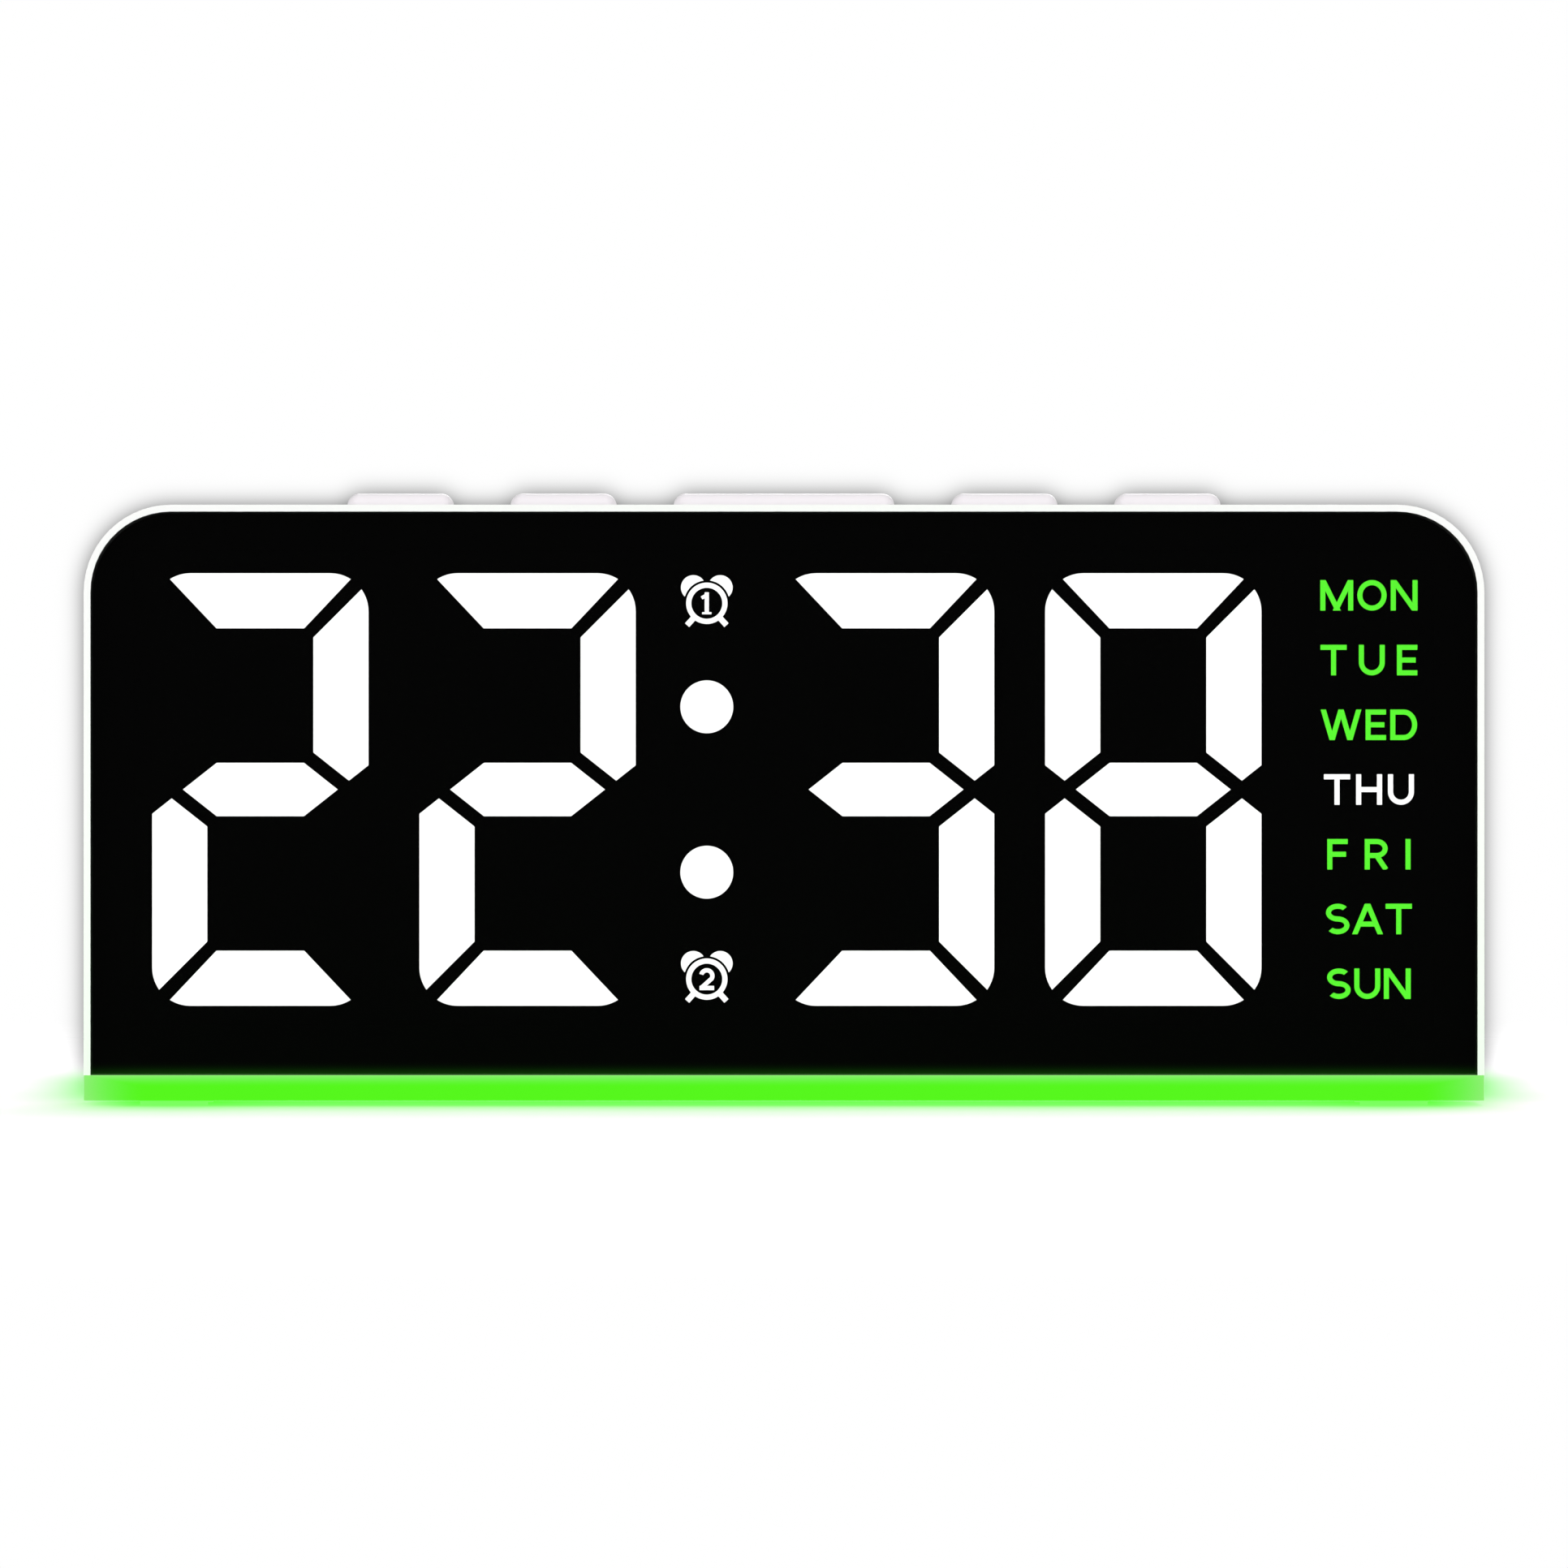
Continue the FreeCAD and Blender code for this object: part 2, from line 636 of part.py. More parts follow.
def make_rear_cover():
    """The back moulding: battery bay, screw wells, sound slots and the opening for the socket."""
    body = new_body("rear_cover")
    outline = sketch_on(body, "XZ_Plane", "-layout.seam")
    add_rectangle(outline, "-layout.half_width", "layout.half_width", "layout.bottom", "layout.top")
    pad(body, outline, "sizes.cover_depth", backwards=True)
    inside = sketch_on(body, "XZ_Plane", "-layout.seam")
    add_rectangle(inside, "-layout.inner_half_width", "layout.inner_half_width",
                  "layout.floor", "layout.ceiling")
    cavity = pocket(body, inside, "layout.back_wall - layout.seam")
    hollow = fillet(
        body, cavity, "sizes.corner_radius - sizes.case_wall",
        lambda edge, middle: runs_along(edge, ALONG_Y) and near(middle.z, value("ceiling")))
    shoulders = fillet(
        body, hollow, "sizes.corner_radius",
        lambda edge, middle: runs_along(edge, ALONG_Y) and near(middle.z, value("top")))
    fillet(body, shoulders, "sizes.back_edge_radius",
           lambda edge, middle: near(middle.y, value("back"))
           and not near(middle.z, value("bottom")))
    add_cover_lip(body)
    add_battery_bay(body)
    add_screw_wells(body)

    slots = sketch_on(body, "XZ_Plane", "-layout.back")
    for number in range(int(value("slot_count"))):
        middle = (f"layout.buzzer_place_x + sizes.slot_pitch * ({number} - (sizes.slot_count - 1) / 2)")
        add_rectangle(slots, f"{middle} - sizes.slot_width / 2", f"{middle} + sizes.slot_width / 2",
                      "layout.bay_middle - sizes.slot_height / 2",
                      "layout.bay_middle + sizes.slot_height / 2")
    pocket(body, slots, "sizes.case_wall", backwards=True)

    socket_hole = sketch_on(body, "XZ_Plane", "-layout.back")
    half = "(sizes.socket_width / 2 + sizes.socket_gap)"
    half_height = "(sizes.socket_height / 2 + sizes.socket_gap)"
    add_rectangle(socket_hole, f"layout.socket_place_x - {half}", f"layout.socket_place_x + {half}",
                  f"layout.socket_z - {half_height}", f"layout.socket_z + {half_height}")
    opening = pocket(body, socket_hole, "sizes.case_wall", backwards=True)
    fillet(body, opening, "0.8 * (sizes.socket_height / 2 + sizes.socket_gap)",
           lambda edge, middle: runs_along(edge, ALONG_Y)
           and near(abs(middle.x - value("socket_place_x")),
                    value("socket_width") / 2 + value("socket_gap"))
           and near(edge.Length, value("case_wall")))

    posts = sketch_on(body, "XY_Plane", "layout.floor")
    add_power_post_circles(posts, "sizes.power_post_radius")
    pad(body, posts, "sizes.power_board_lift")
    threads = sketch_on(body, "XY_Plane", "layout.power_board_low")
    add_power_post_circles(threads, "sizes.screw_shank_radius")
    pocket(body, threads, "sizes.screw_bite - sizes.floor_wall / 4")
    return body


def add_power_post_circles(sketch, radius):
    for side in ("-", "+"):
        add_circle(sketch, f"layout.socket_place_x {side} sizes.power_post_place",
                   "layout.power_board_middle_y", radius)


def add_cover_lip(body):
    """Tongues along the seam that slip inside the front shell and keep the two halves in line."""
    side_out = "layout.inner_half_width - sizes.fit_gap"
    side_in = f"{side_out} - sizes.lip_thickness"
    top_out = "layout.ceiling - sizes.fit_gap"
    top_in = f"{top_out} - sizes.lip_thickness"
    wall_bite = "(sizes.case_wall / 4 + sizes.fit_gap)"
    low, high = "layout.display_post_low", "layout.display_post_high - sizes.well_post_radius"
    for start, length, bite in (
            ("layout.seam", "sizes.lip_depth", wall_bite),
            ("layout.seam - sizes.lip_depth", "sizes.lip_depth", "0")):
        lip = sketch_on(body, "XZ_Plane", f"-({start})")
        add_rectangle(lip, side_in, f"{side_out} + {bite}", low, high)
        add_rectangle(lip, f"-({side_out} + {bite})", f"-({side_in})", low, high)
        add_rectangle(lip, "-sizes.lip_reach * layout.half_width", "sizes.lip_reach * layout.half_width",
                      top_in, f"{top_out} + {bite}")
        pad(body, lip, length, backwards=True)


def add_battery_bay(body):
    """A box for the cells, open at the back, with a recess that the door lies in."""
    margin = "(sizes.door_gap + sizes.bay_wall)"
    box = sketch_on(body, "XZ_Plane", "-layout.bay_front_y")
    add_rectangle(box, f"-(layout.door_half_width + {margin})", f"layout.door_half_width + {margin}",
                  f"layout.door_low - {margin} - sizes.door_tab_length",
                  f"layout.door_high + {margin}")
    pad(body, box, "layout.back_wall - layout.bay_front_y", backwards=True)

    recess = sketch_on(body, "XZ_Plane", "-layout.back")
    add_rectangle(recess, "-(layout.door_half_width + sizes.door_gap)",
                  "layout.door_half_width + sizes.door_gap",
                  "layout.door_low - sizes.door_gap", "layout.door_high + sizes.door_gap")
    seat = pocket(body, recess, "layout.back - layout.recess_floor", backwards=True)
    fillet(body, seat, "sizes.door_corner_radius + sizes.door_gap",
           lambda edge, middle: runs_along(edge, ALONG_Y)
           and near(abs(middle.x), value("door_half_width") + value("door_gap")))

    bay = sketch_on(body, "XZ_Plane", "-layout.recess_floor")
    add_rectangle(bay, "-layout.bay_half_width", "layout.bay_half_width",
                  "layout.bay_low", "layout.bay_high")
    pocket(body, bay, "layout.recess_floor - layout.bay_floor_y", backwards=True)

    slots = sketch_on(body, "XZ_Plane", "-layout.tab_slot_y")
    for side in ("-1", "1"):
        middle = f"{side} * sizes.door_tab_place"
        half = "(sizes.door_tab_width / 2 + sizes.door_gap)"
        add_rectangle(slots, f"{middle} - {half}", f"{middle} + {half}",
                      "layout.door_low - sizes.door_tab_length - sizes.door_gap",
                      "layout.door_low + sizes.door_tab_length")
    pocket(body, slots, "layout.back - sizes.tab_skin - layout.tab_slot_y")


def add_screw_wells(body):
    posts = sketch_on(body, "XZ_Plane", "-layout.seam")
    add_case_screw_circles(posts, "sizes.well_post_radius")
    pad(body, posts, "layout.back_wall - layout.seam", backwards=True)
    wells = sketch_on(body, "XZ_Plane", "-layout.back")
    add_case_screw_circles(wells, "sizes.well_radius")
    pocket(body, wells, "layout.back - layout.well_depth_y", backwards=True)
    holes = sketch_on(body, "XZ_Plane", "-layout.seam")
    add_case_screw_circles(holes, "sizes.screw_shank_radius + sizes.screw_hole_gap")
    pocket(body, holes, "sizes.well_floor")


def make_battery_door():
    """A flat door that tips on two tabs at its lower edge and snaps shut with a tongue above."""
    body = new_body("battery_door")
    outline = sketch_on(body, "XZ_Plane", "-layout.door_inner")
    add_rectangle(outline, "-layout.door_half_width", "layout.door_half_width",
                  "layout.door_low", "layout.door_high")
    panel = pad(body, outline, "sizes.door_thickness", backwards=True)
    fillet(body, panel, "sizes.door_corner_radius",
           lambda edge, middle: runs_along(edge, ALONG_Y))

    tabs = sketch_on(body, "XZ_Plane", "-layout.door_inner")
    for side in ("-1", "1"):
        middle = f"{side} * sizes.door_tab_place"
        add_rectangle(tabs, f"{middle} - sizes.door_tab_width / 2",
                      f"{middle} + sizes.door_tab_width / 2",
                      "layout.door_low - sizes.door_tab_length",
                      "layout.door_low + sizes.door_tab_root")
    pad(body, tabs, "sizes.door_tab_thickness", backwards=True)

    tongue = sketch_on(body, "XZ_Plane", "-(layout.door_inner - sizes.latch_depth)")
    tongue_top = "layout.bay_high - sizes.latch_gap"
    add_rectangle(tongue, "-sizes.latch_width / 2", "sizes.latch_width / 2",
                  f"{tongue_top} - sizes.latch_thickness", tongue_top)
    pad(body, tongue, "sizes.latch_depth", backwards=True)

    notch = sketch_on(body, "XZ_Plane", "-layout.back")
    add_rectangle(notch, "-sizes.notch_width / 2", "sizes.notch_width / 2",
                  "layout.door_high - sizes.notch_height", "layout.door_high + sizes.notch_depth")
    pocket(body, notch, "sizes.notch_depth", backwards=True)
    grip = sketch_on(body, "XZ_Plane", "-layout.back")
    for number in range(int(value("grip_count"))):
        middle = f"layout.door_high - sizes.notch_height - {number + 1} * sizes.grip_pitch"
        add_rectangle(grip, "-sizes.grip_width / 2", "sizes.grip_width / 2",
                      f"{middle} - sizes.grip_line / 2", f"{middle} + sizes.grip_line / 2")
    pocket(body, grip, "sizes.grip_depth", backwards=True)
    return body


def add_foot_circles(sketch, radius):
    for across in both_sides("layout.foot_place_x"):
        for along in both_sides("layout.foot_place_y"):
            add_circle(sketch, across, along, radius)


def make_light_base():
    """A milky tray under the case that spreads the night light to its four edges."""
    body = new_body("light_base")
    outline = sketch_on(body, "XY_Plane", "sizes.foot_rise")
    add_rectangle(outline, "-layout.half_width", "layout.half_width", "layout.front", "layout.back")
    block = pad(body, outline, "sizes.base_height")
    rear = fillet(body, block, "sizes.back_edge_radius",
                  lambda edge, middle: runs_along(edge, ALONG_Z) and middle.y > 0)
    fillet(body, rear, "sizes.base_corner_radius",
           lambda edge, middle: runs_along(edge, ALONG_Z) and near(middle.y, value("front")))
    tray = sketch_on(body, "XY_Plane", "layout.bottom")
    add_rectangle(tray, "-layout.light_half_width", "layout.light_half_width",
                  "layout.light_front_y", "layout.light_back_y")
    pocket(body, tray, "sizes.base_height - sizes.base_floor")
    threads = sketch_on(body, "XY_Plane", "layout.bottom")
    add_base_screw_circles(threads, "sizes.screw_shank_radius")
    pocket(body, threads, "sizes.base_screw_bite")
    seats = sketch_on(body, "XY_Plane", "sizes.foot_rise")
    add_foot_circles(seats, "sizes.foot_radius")
    pocket(body, seats, "sizes.foot_sink", backwards=True)
    return body


def make_rubber_feet():
    body = new_body("rubber_feet")
    discs = sketch_on(body, "XY_Plane", "0")
    add_foot_circles(discs, "sizes.foot_radius")
    pad(body, discs, "sizes.foot_rise + sizes.foot_sink")
    return body


# ---------------------------------------------------------------- display: outlines of what is lit

def flat(x, z):
    """A point of the display, seen from the front."""
    return Vector(x, 0, z)


def turned(middle_x, middle_z, radius, degrees):
    """A point on a circle about the middle; 0 degrees is to the right and 90 is up."""
    angle = math.radians(degrees)
    return flat(middle_x + radius * math.cos(angle), middle_z + radius * math.sin(angle))


def line(start, end):
    return Part.LineSegment(start, end).toShape()


def arc(middle_x, middle_z, radius, start, end):
    points = [turned(middle_x, middle_z, radius, angle) for angle in (start, (start + end) / 2, end)]
    return Part.Arc(*points).toShape()


def face_of(edges):
    return Part.Face(Part.Wire(edges))


def polygon(points):
    return Part.Face(Part.makePolygon(points + points[:1]))


def mirrored(face, over_x, over_z):
    """A copy of a face, mirrored left to right and top to bottom about the middle as asked."""
    if over_x:
        face = face.mirror(Vector(0, 0, 0), Vector(1, 0, 0))
    if over_z:
        face = face.mirror(Vector(0, 0, 0), Vector(0, 0, 1))
    return face


def segment_faces():
    """The seven segments of one digit about its middle, lettered a to g clockwise from the top."""
    half_width = value("digit_width") / 2
    half_height = value("digit_height") / 2
    thickness = value("bar_thickness")
    radius = value("digit_corner_radius")
    corner_x, corner_z = half_width - radius, half_height - radius
    inner_x, inner_z = half_width - thickness, half_height - thickness
    mitre = half_width - half_height
    half_gap = value("segment_gap") / math.sqrt(2)

    def on_corner(start, slant):
        """Where a line that rises from the start at a slant meets the rounded corner, as an angle."""
        ahead = turned(0, 0, 1, slant)
        offset = start - flat(corner_x, corner_z)
        along = offset.dot(ahead)
        met = offset + ahead * (math.sqrt(along ** 2 + radius ** 2 - offset.dot(offset)) - along)
        return math.degrees(math.atan2(met.z, met.x))

    top_inner = flat(inner_z + mitre - half_gap, inner_z)
    side_inner = flat(inner_x, inner_x - mitre - half_gap)
    top_angle = on_corner(top_inner, value("bar_cut_angle"))
    side_angle = on_corner(side_inner, 45)
    top_tip = turned(corner_x, corner_z, radius, top_angle)
    top = face_of([
        line(flat(-corner_x, half_height), flat(corner_x, half_height)),
        arc(corner_x, corner_z, radius, 90, top_angle),
        line(top_tip, top_inner),
        line(top_inner, flat(-top_inner.x, top_inner.z)),
        line(flat(-top_inner.x, top_inner.z), flat(-top_tip.x, top_tip.z)),
        arc(-corner_x, corner_z, radius, 180 - top_angle, 90),
    ])

    slope = math.tan(math.radians(value("middle_tip_angle")))
    middle_gap = value("middle_segment_gap") / 2
    node_x = half_width - value("middle_tip_inset")
    tip_z = middle_gap / math.cos(math.radians(value("middle_tip_angle")))
    side_tip = turned(corner_x, corner_z, radius, side_angle)
    side_points = [
        flat(half_width, corner_z),
        flat(half_width, tip_z + slope * (half_width - node_x)),
        flat(node_x, tip_z),
        flat(inner_x, tip_z + slope * (node_x - inner_x)),
        side_inner,
        side_tip,
    ]
    side = face_of([line(start, end) for start, end in zip(side_points, side_points[1:])]
                   + [arc(corner_x, corner_z, radius, side_angle, 0)])

    half_bar = value("middle_bar_thickness") / 2
    middle_tip = node_x - tip_z / slope
    middle_corner = middle_tip - half_bar / slope
    middle = polygon([flat(middle_tip, 0), flat(middle_corner, half_bar),
                      flat(-middle_corner, half_bar), flat(-middle_tip, 0),
                      flat(-middle_corner, -half_bar), flat(middle_corner, -half_bar)])
    return {
        "a": top,
        "b": side,
        "c": mirrored(side, False, True),
        "d": mirrored(top, False, True),
        "e": mirrored(side, True, True),
        "f": mirrored(side, True, False),
        "g": middle,
    }


def stroke(x0, z0, x1, z1, thickness):
    """A straight bar of even thickness along its centre line."""
    along = flat(x1 - x0, z1 - z0).normalize()
    across = Vector(-along.z, 0, along.x) * (thickness / 2)
    start, end = flat(x0, z0), flat(x1, z1)
    return polygon([start + across, end + across, end - across, start - across])


def diagonal(x0, z0, x1, z1, thickness):
    """A slanted bar that runs on past both ends, for the letter's box to cut level."""
    extra = flat(x1 - x0, z1 - z0).normalize() * thickness
    return stroke(x0 - extra.x, z0 - extra.z, x1 + extra.x, z1 + extra.z, thickness)


def bow(middle_x, middle_z, half_width, half_height, start, end, thickness):
    """A bent bar of even thickness along part of an oval, between two angles in degrees."""
    def side(grow, first, last):
        steps = [first + (last - first) * number / 8 for number in range(9)]
        points = [flat(middle_x + (half_width + grow) * math.cos(math.radians(angle)),
                       middle_z + (half_height + grow) * math.sin(math.radians(angle)))
                  for angle in steps]
        curve = Part.BSplineCurve()
        curve.interpolate(points)
        return points, curve.toShape()
    outer_points, outer = side(thickness / 2, start, end)
    inner_points, inner = side(-thickness / 2, end, start)
    return face_of([outer, line(outer_points[-1], inner_points[0]), inner,
                    line(inner_points[-1], outer_points[0])])


def letter_strokes(letter, width, height, pen):
    """The bars of a capital in a box of the given width and height, with its foot at the origin."""
    left, right, low, high = pen / 2, width - pen / 2, pen / 2, height - pen / 2
    middle_x, middle_z = width / 2, height / 2
    half_width, half_height = (right - left) / 2, (high - low) / 2
    stem = stroke(left, 0, left, height, pen)
    far_stem = stroke(right, 0, right, height, pen)
    if letter == "O":
        return [bow(middle_x, middle_z, half_width, half_height, 90, 270, pen),
                bow(middle_x, middle_z, half_width, half_height, -90, 90, pen)]
    if letter == "M":
        return [stem, far_stem, diagonal(left, height, middle_x, low, pen),
                diagonal(right, height, middle_x, low, pen)]
    if letter == "N":
        return [stem, far_stem, diagonal(left, height, right, 0, pen)]
    if letter == "W":
        quarter = half_width / 2
        return [diagonal(left, height, left + quarter, 0, pen),
                diagonal(left + quarter, 0, middle_x, height, pen),
                diagonal(middle_x, height, right - quarter, 0, pen),
                diagonal(right - quarter, 0, right, height, pen)]
    if letter == "H":
        return [stem, far_stem, stroke(0, middle_z, width, middle_z, pen)]
    if letter == "I":
        return [stem]
    if letter == "T":
        return [stroke(0, high, width, high, pen), stroke(middle_x, 0, middle_x, height, pen)]
    if letter in "EF":
        bars = [stem, stroke(0, high, width, high, pen),
                stroke(0, middle_z, 0.92 * width, middle_z, pen)]
        return bars + ([stroke(0, low, width, low, pen)] if letter == "E" else [])
    if letter == "A":
        return [diagonal(left, 0, middle_x, height, pen),
                diagonal(right, 0, middle_x, height, pen),
                stroke(width / 4, height / 3, 3 * width / 4, height / 3, pen)]
    if letter == "U":
        turn = half_width
        return [stroke(left, turn + low, left, height, pen),
                stroke(right, turn + low, right, height, pen),
                bow(middle_x, turn + low, half_width, turn, 180, 360, pen)]
    if letter == "D":
        return [stem, stroke(0, high, width / 2, high, pen), stroke(0, low, width / 2, low, pen),
                bow(width / 2, middle_z, right - width / 2, half_height, -90, 90, pen)]
    if letter == "R":
        lobe = (high - middle_z + pen / 4) / 2
        return [stem, stroke(0, high, width / 2, high, pen),
                stroke(0, high - 2 * lobe, width / 2, high - 2 * lobe, pen),
                bow(width / 2, high - lobe, right - width / 2 - pen / 6, lobe, -90, 90, pen),
                stroke(width / 2, high - 2 * lobe, right, 0, pen)]
    if letter == "S":
        lobe = half_height / 2
        return [bow(middle_x, high - lobe, half_width, lobe, 40, 270, pen),
                bow(middle_x, low + lobe, half_width, lobe, -140, 90, pen)]
    raise ValueError(letter)


# Widths of the capitals as shares of their height.
LETTER_WIDTHS = {"A": 1.0, "D": 0.88, "E": 0.67, "F": 0.67, "H": 0.85, "I": 0.167, "M": 1.08,
                 "N": 0.88, "O": 0.96, "R": 0.78, "S": 0.77, "T": 0.86, "U": 0.85, "W": 1.33}


def plate(face, front, back):
    """The solid that a flat outline sweeps from one depth of the display to another."""
    solid = face.extrude(Vector(0, back - front, 0))
    solid.translate(Vector(0, front, 0))
    return solid


def joined(solids):
    if len(solids) == 1:
        return solids[0]
    return solids[0].multiFuse(solids[1:]).removeSplitter()


def print_layer(faces):
    """Outlines joined to one solid as thick as the black mask that they show through."""
    front, back = value("flange_front"), value("mask_back")
    return joined([plate(face, front, back) for face in faces])


def disc(middle, radius):
    return Part.Face(Part.Wire(Part.makeCircle(radius, middle, ALONG_Y)))


def letter_solid(letter, left, low):
    """One capital, clipped to its own box and put with its foot at the given place."""
    height = value("capital_height")
    width = LETTER_WIDTHS[letter] * height
    bars = print_layer(letter_strokes(letter, width, height, value("letter_line")))
    box = print_layer([polygon([flat(0, 0), flat(width, 0), flat(width, height), flat(0, height)])])
    capital = bars.common(box)
    capital.translate(flat(left, low))
    return capital


def word_solids(word, gap, middle_z):
    """The letters of a word and the width of the whole, centred on the weekday column."""
    height = value("capital_height")
    widths = [LETTER_WIDTHS[letter] * height for letter in word]
    total = sum(widths) + gap * (len(word) - 1)
    left = value("word_column") - total / 2
    letters = []
    for letter, width in zip(word, widths):
        letters.append(letter_solid(letter, left, middle_z - height / 2))
        left += width + gap
    return letters, total


def icon_solids(numeral, middle_x, middle_z):
    """A small alarm clock: a ring, two bells, two feet and a numeral inside."""
    radius, pen = value("icon_radius"), value("icon_line")
    ring = print_layer([disc(flat(0, 0), radius)]).cut(print_layer([disc(flat(0, 0), radius - pen)]))
    clear_round = print_layer([disc(flat(0, 0), 1.11 * radius)])
    bells, frame = [], [ring]
    for side in (-1, 1):
        bell = print_layer([disc(flat(side * 0.65 * radius, 0.76 * radius), 0.6 * radius)])
        bells.append(bell.cut(clear_round))
        start = turned(0, 0, radius - pen / 3, 270 + side * 42)
        end = turned(0, 0, 1.42 * radius, 270 + side * 42)
        frame.append(print_layer([stroke(start.x, start.z, end.x, end.z, 1.1 * pen)]))
    half_height = 0.53 * radius
    thin = 0.82 * pen
    foot_z = thin / 2 - half_height
    if numeral == 1:
        serif = 0.5 * thin
        serif_z = serif / 2 - half_height
        strokes = [stroke(0, -half_height, 0, half_height, thin),
                   stroke(-pen, half_height - 1.1 * pen, 0.2 * pen, half_height - thin / 2, 0.8 * thin),
                   stroke(-0.9 * pen, serif_z, 0.9 * pen, serif_z, serif)]
    else:
        turn = 0.27 * radius
        strokes = [bow(0, half_height - turn - thin / 2, turn, turn, -40, 165, thin),
                   stroke(0.75 * turn, half_height - 1.6 * turn - thin / 2, -turn, foot_z, thin),
                   stroke(-1.3 * turn, foot_z, 1.3 * turn, foot_z, thin)]
    pieces = bells + [joined(frame), print_layer(strokes)]
    for piece in pieces:
        piece.translate(flat(middle_x, middle_z))
    return pieces


# ---------------------------------------------------------------- display: pieces

def solids_node(name, solids):
    """A sub-part made of one solid or of several like ones that lie apart."""
    node = document.addObject("Part::Feature", name)
    node.Label = name
    node.Shape = solids[0] if len(solids) == 1 else Part.makeCompound(solids)
    node.Placement = FreeCAD.Placement()
    return node


def block(left, right, front, back, low, high):
    return Part.makeBox(right - left, back - front, high - low, Vector(left, front, low))


def rod(middle, radius, length, along):
    return Part.makeCylinder(radius, length, middle, along)


# Each digit: the middle of its pair, its side of the pair, and the segments that are lit.
DIGITS = {
    "digit_hour_tens": ("hours_middle", -0.5, "abged"),
    "digit_hour_units": ("hours_middle", 0.5, "abged"),
    "digit_minute_tens": ("minutes_middle", -0.5, "abgcd"),
    "digit_minute_units": ("minutes_middle", 0.5, "abcdefg"),
}

# Each weekday: its capitals and the gap between them, from the top row down.
WEEKDAYS = {
    "monday_word": ("MON", 0.48),
    "tuesday_word": ("TUE", 1.43),
    "wednesday_word": ("WED", 0.5),
    "thursday_word": ("THU", 0.7),
    "friday_word": ("FRI", 2.0),
    "saturday_word": ("SAT", 0.33),
    "sunday_word": ("SUN", 0.43),
}

ICONS = {"alarm_one_icon": (1, 1), "alarm_two_icon": (2, -1)}


def make_display():
    """The lit pieces, the mask that they show through, the reflector around them and their LEDs.
    Returns the sub-parts. Each lit piece fills its own window of the mask and its own cavity."""
    front, mask_back = value("flange_front"), value("mask_back")
    glow_back, board = value("diffuser_back"), value("board_front")
    middle_z = value("display_middle")
    parts, windows, cavities, led_places = [], [], [], []
    outlines = segment_faces()

    unlit = []
    for name, (pair, side, lit) in DIGITS.items():
        middle_x = value(pair) + side * value("digit_pitch")
        shapes = []
        for letter, face in outlines.items():
            face = face.copy()
            face.translate(flat(middle_x, middle_z))
            segment = plate(face, front, glow_back)
            windows.append(segment)
            cavities.append(plate(face, mask_back, board))
            led_places.append(face.CenterOfMass)
            (shapes if letter in lit else unlit).append(segment)
        parts.append(solids_node(name, shapes))
    parts.append(solids_node("unlit_segments", unlit))

    dots = []
    for side in (-0.5, 0.5):
        middle = flat(value("centre_column"), middle_z + side * value("dot_spacing"))
        face = disc(middle, value("dot_radius"))
        dots.append(plate(face, front, glow_back))
        cavities.append(plate(face, mask_back, board))
        led_places.append(middle)
    windows += dots
    parts.append(solids_node("colon_dots", dots))

    def backed(name, shapes, middle_x, row_z, width, height):
        """A lit piece whose raised outlines stand on one small plate behind the mask."""
        edges = (middle_x - width / 2, middle_x + width / 2)
        rows = (row_z - height / 2, row_z + height / 2)
        backing = block(*edges, mask_back, glow_back, *rows)
        windows.extend(shapes)
        cavities.append(block(*edges, mask_back, board, *rows))
        led_places.append(flat(middle_x, row_z))
        parts.append(solids_node(name, [joined([backing] + shapes)]))

    for name, (numeral, side) in ICONS.items():
        icon_z = middle_z + side * value("icon_height") - value("icon_drop")
        shapes = icon_solids(numeral, value("centre_column"), icon_z)
        backed(name, shapes, value("centre_column"), icon_z,
               value("icon_backing"), value("icon_backing"))
    height = value("capital_height") + 2 * value("backing_margin")
    for row, (name, (word, gap)) in enumerate(WEEKDAYS.items()):
        row_z = middle_z + ((len(WEEKDAYS) - 1) / 2 - row) * value("word_pitch")
        shapes, width = word_solids(word, gap, row_z)
        backed(name, shapes, value("word_column"), row_z,
               width + 2 * value("backing_margin"), height)

    gap = value("mask_gap")
    mask = block(gap - value("window_half_width"), value("window_half_width") - gap,
                 front, mask_back, value("window_low") + gap, value("window_high") - gap)
    parts.append(solids_node("display_mask", [mask.cut(windows)]))
    reflector = block(-value("reflector_half_width"), value("reflector_half_width"),
                      mask_back, board, value("reflector_low"), value("reflector_high"))
    parts.append(solids_node("reflector_block", [reflector.cut(cavities)]))
    size, rise = value("led_size") / 2, value("led_height")
    leds = [block(place.x - size, place.x + size, board - rise, board,
                  place.z - size, place.z + size) for place in led_places]
    parts.append(solids_node("display_leds", leds))
    return parts


def make_display_board():
    body = new_body("display_board")
    outline = sketch_on(body, "XZ_Plane", "-layout.board_front")
    add_rectangle(outline, "-layout.board_half_width", "layout.board_half_width",
                  "layout.board_low", "layout.board_high")
    sheet = pad(body, outline, "sizes.board_thickness", backwards=True)
    fillet(body, sheet, "sizes.board_corner_radius",
           lambda edge, middle: runs_along(edge, ALONG_Y) and near(middle.z, value("board_high")))
    holes = sketch_on(body, "XZ_Plane", "-layout.board_front")
    add_display_post_circles(holes, "sizes.screw_shank_radius + sizes.screw_hole_gap")
    pocket(body, holes, "sizes.board_thickness")
    return body


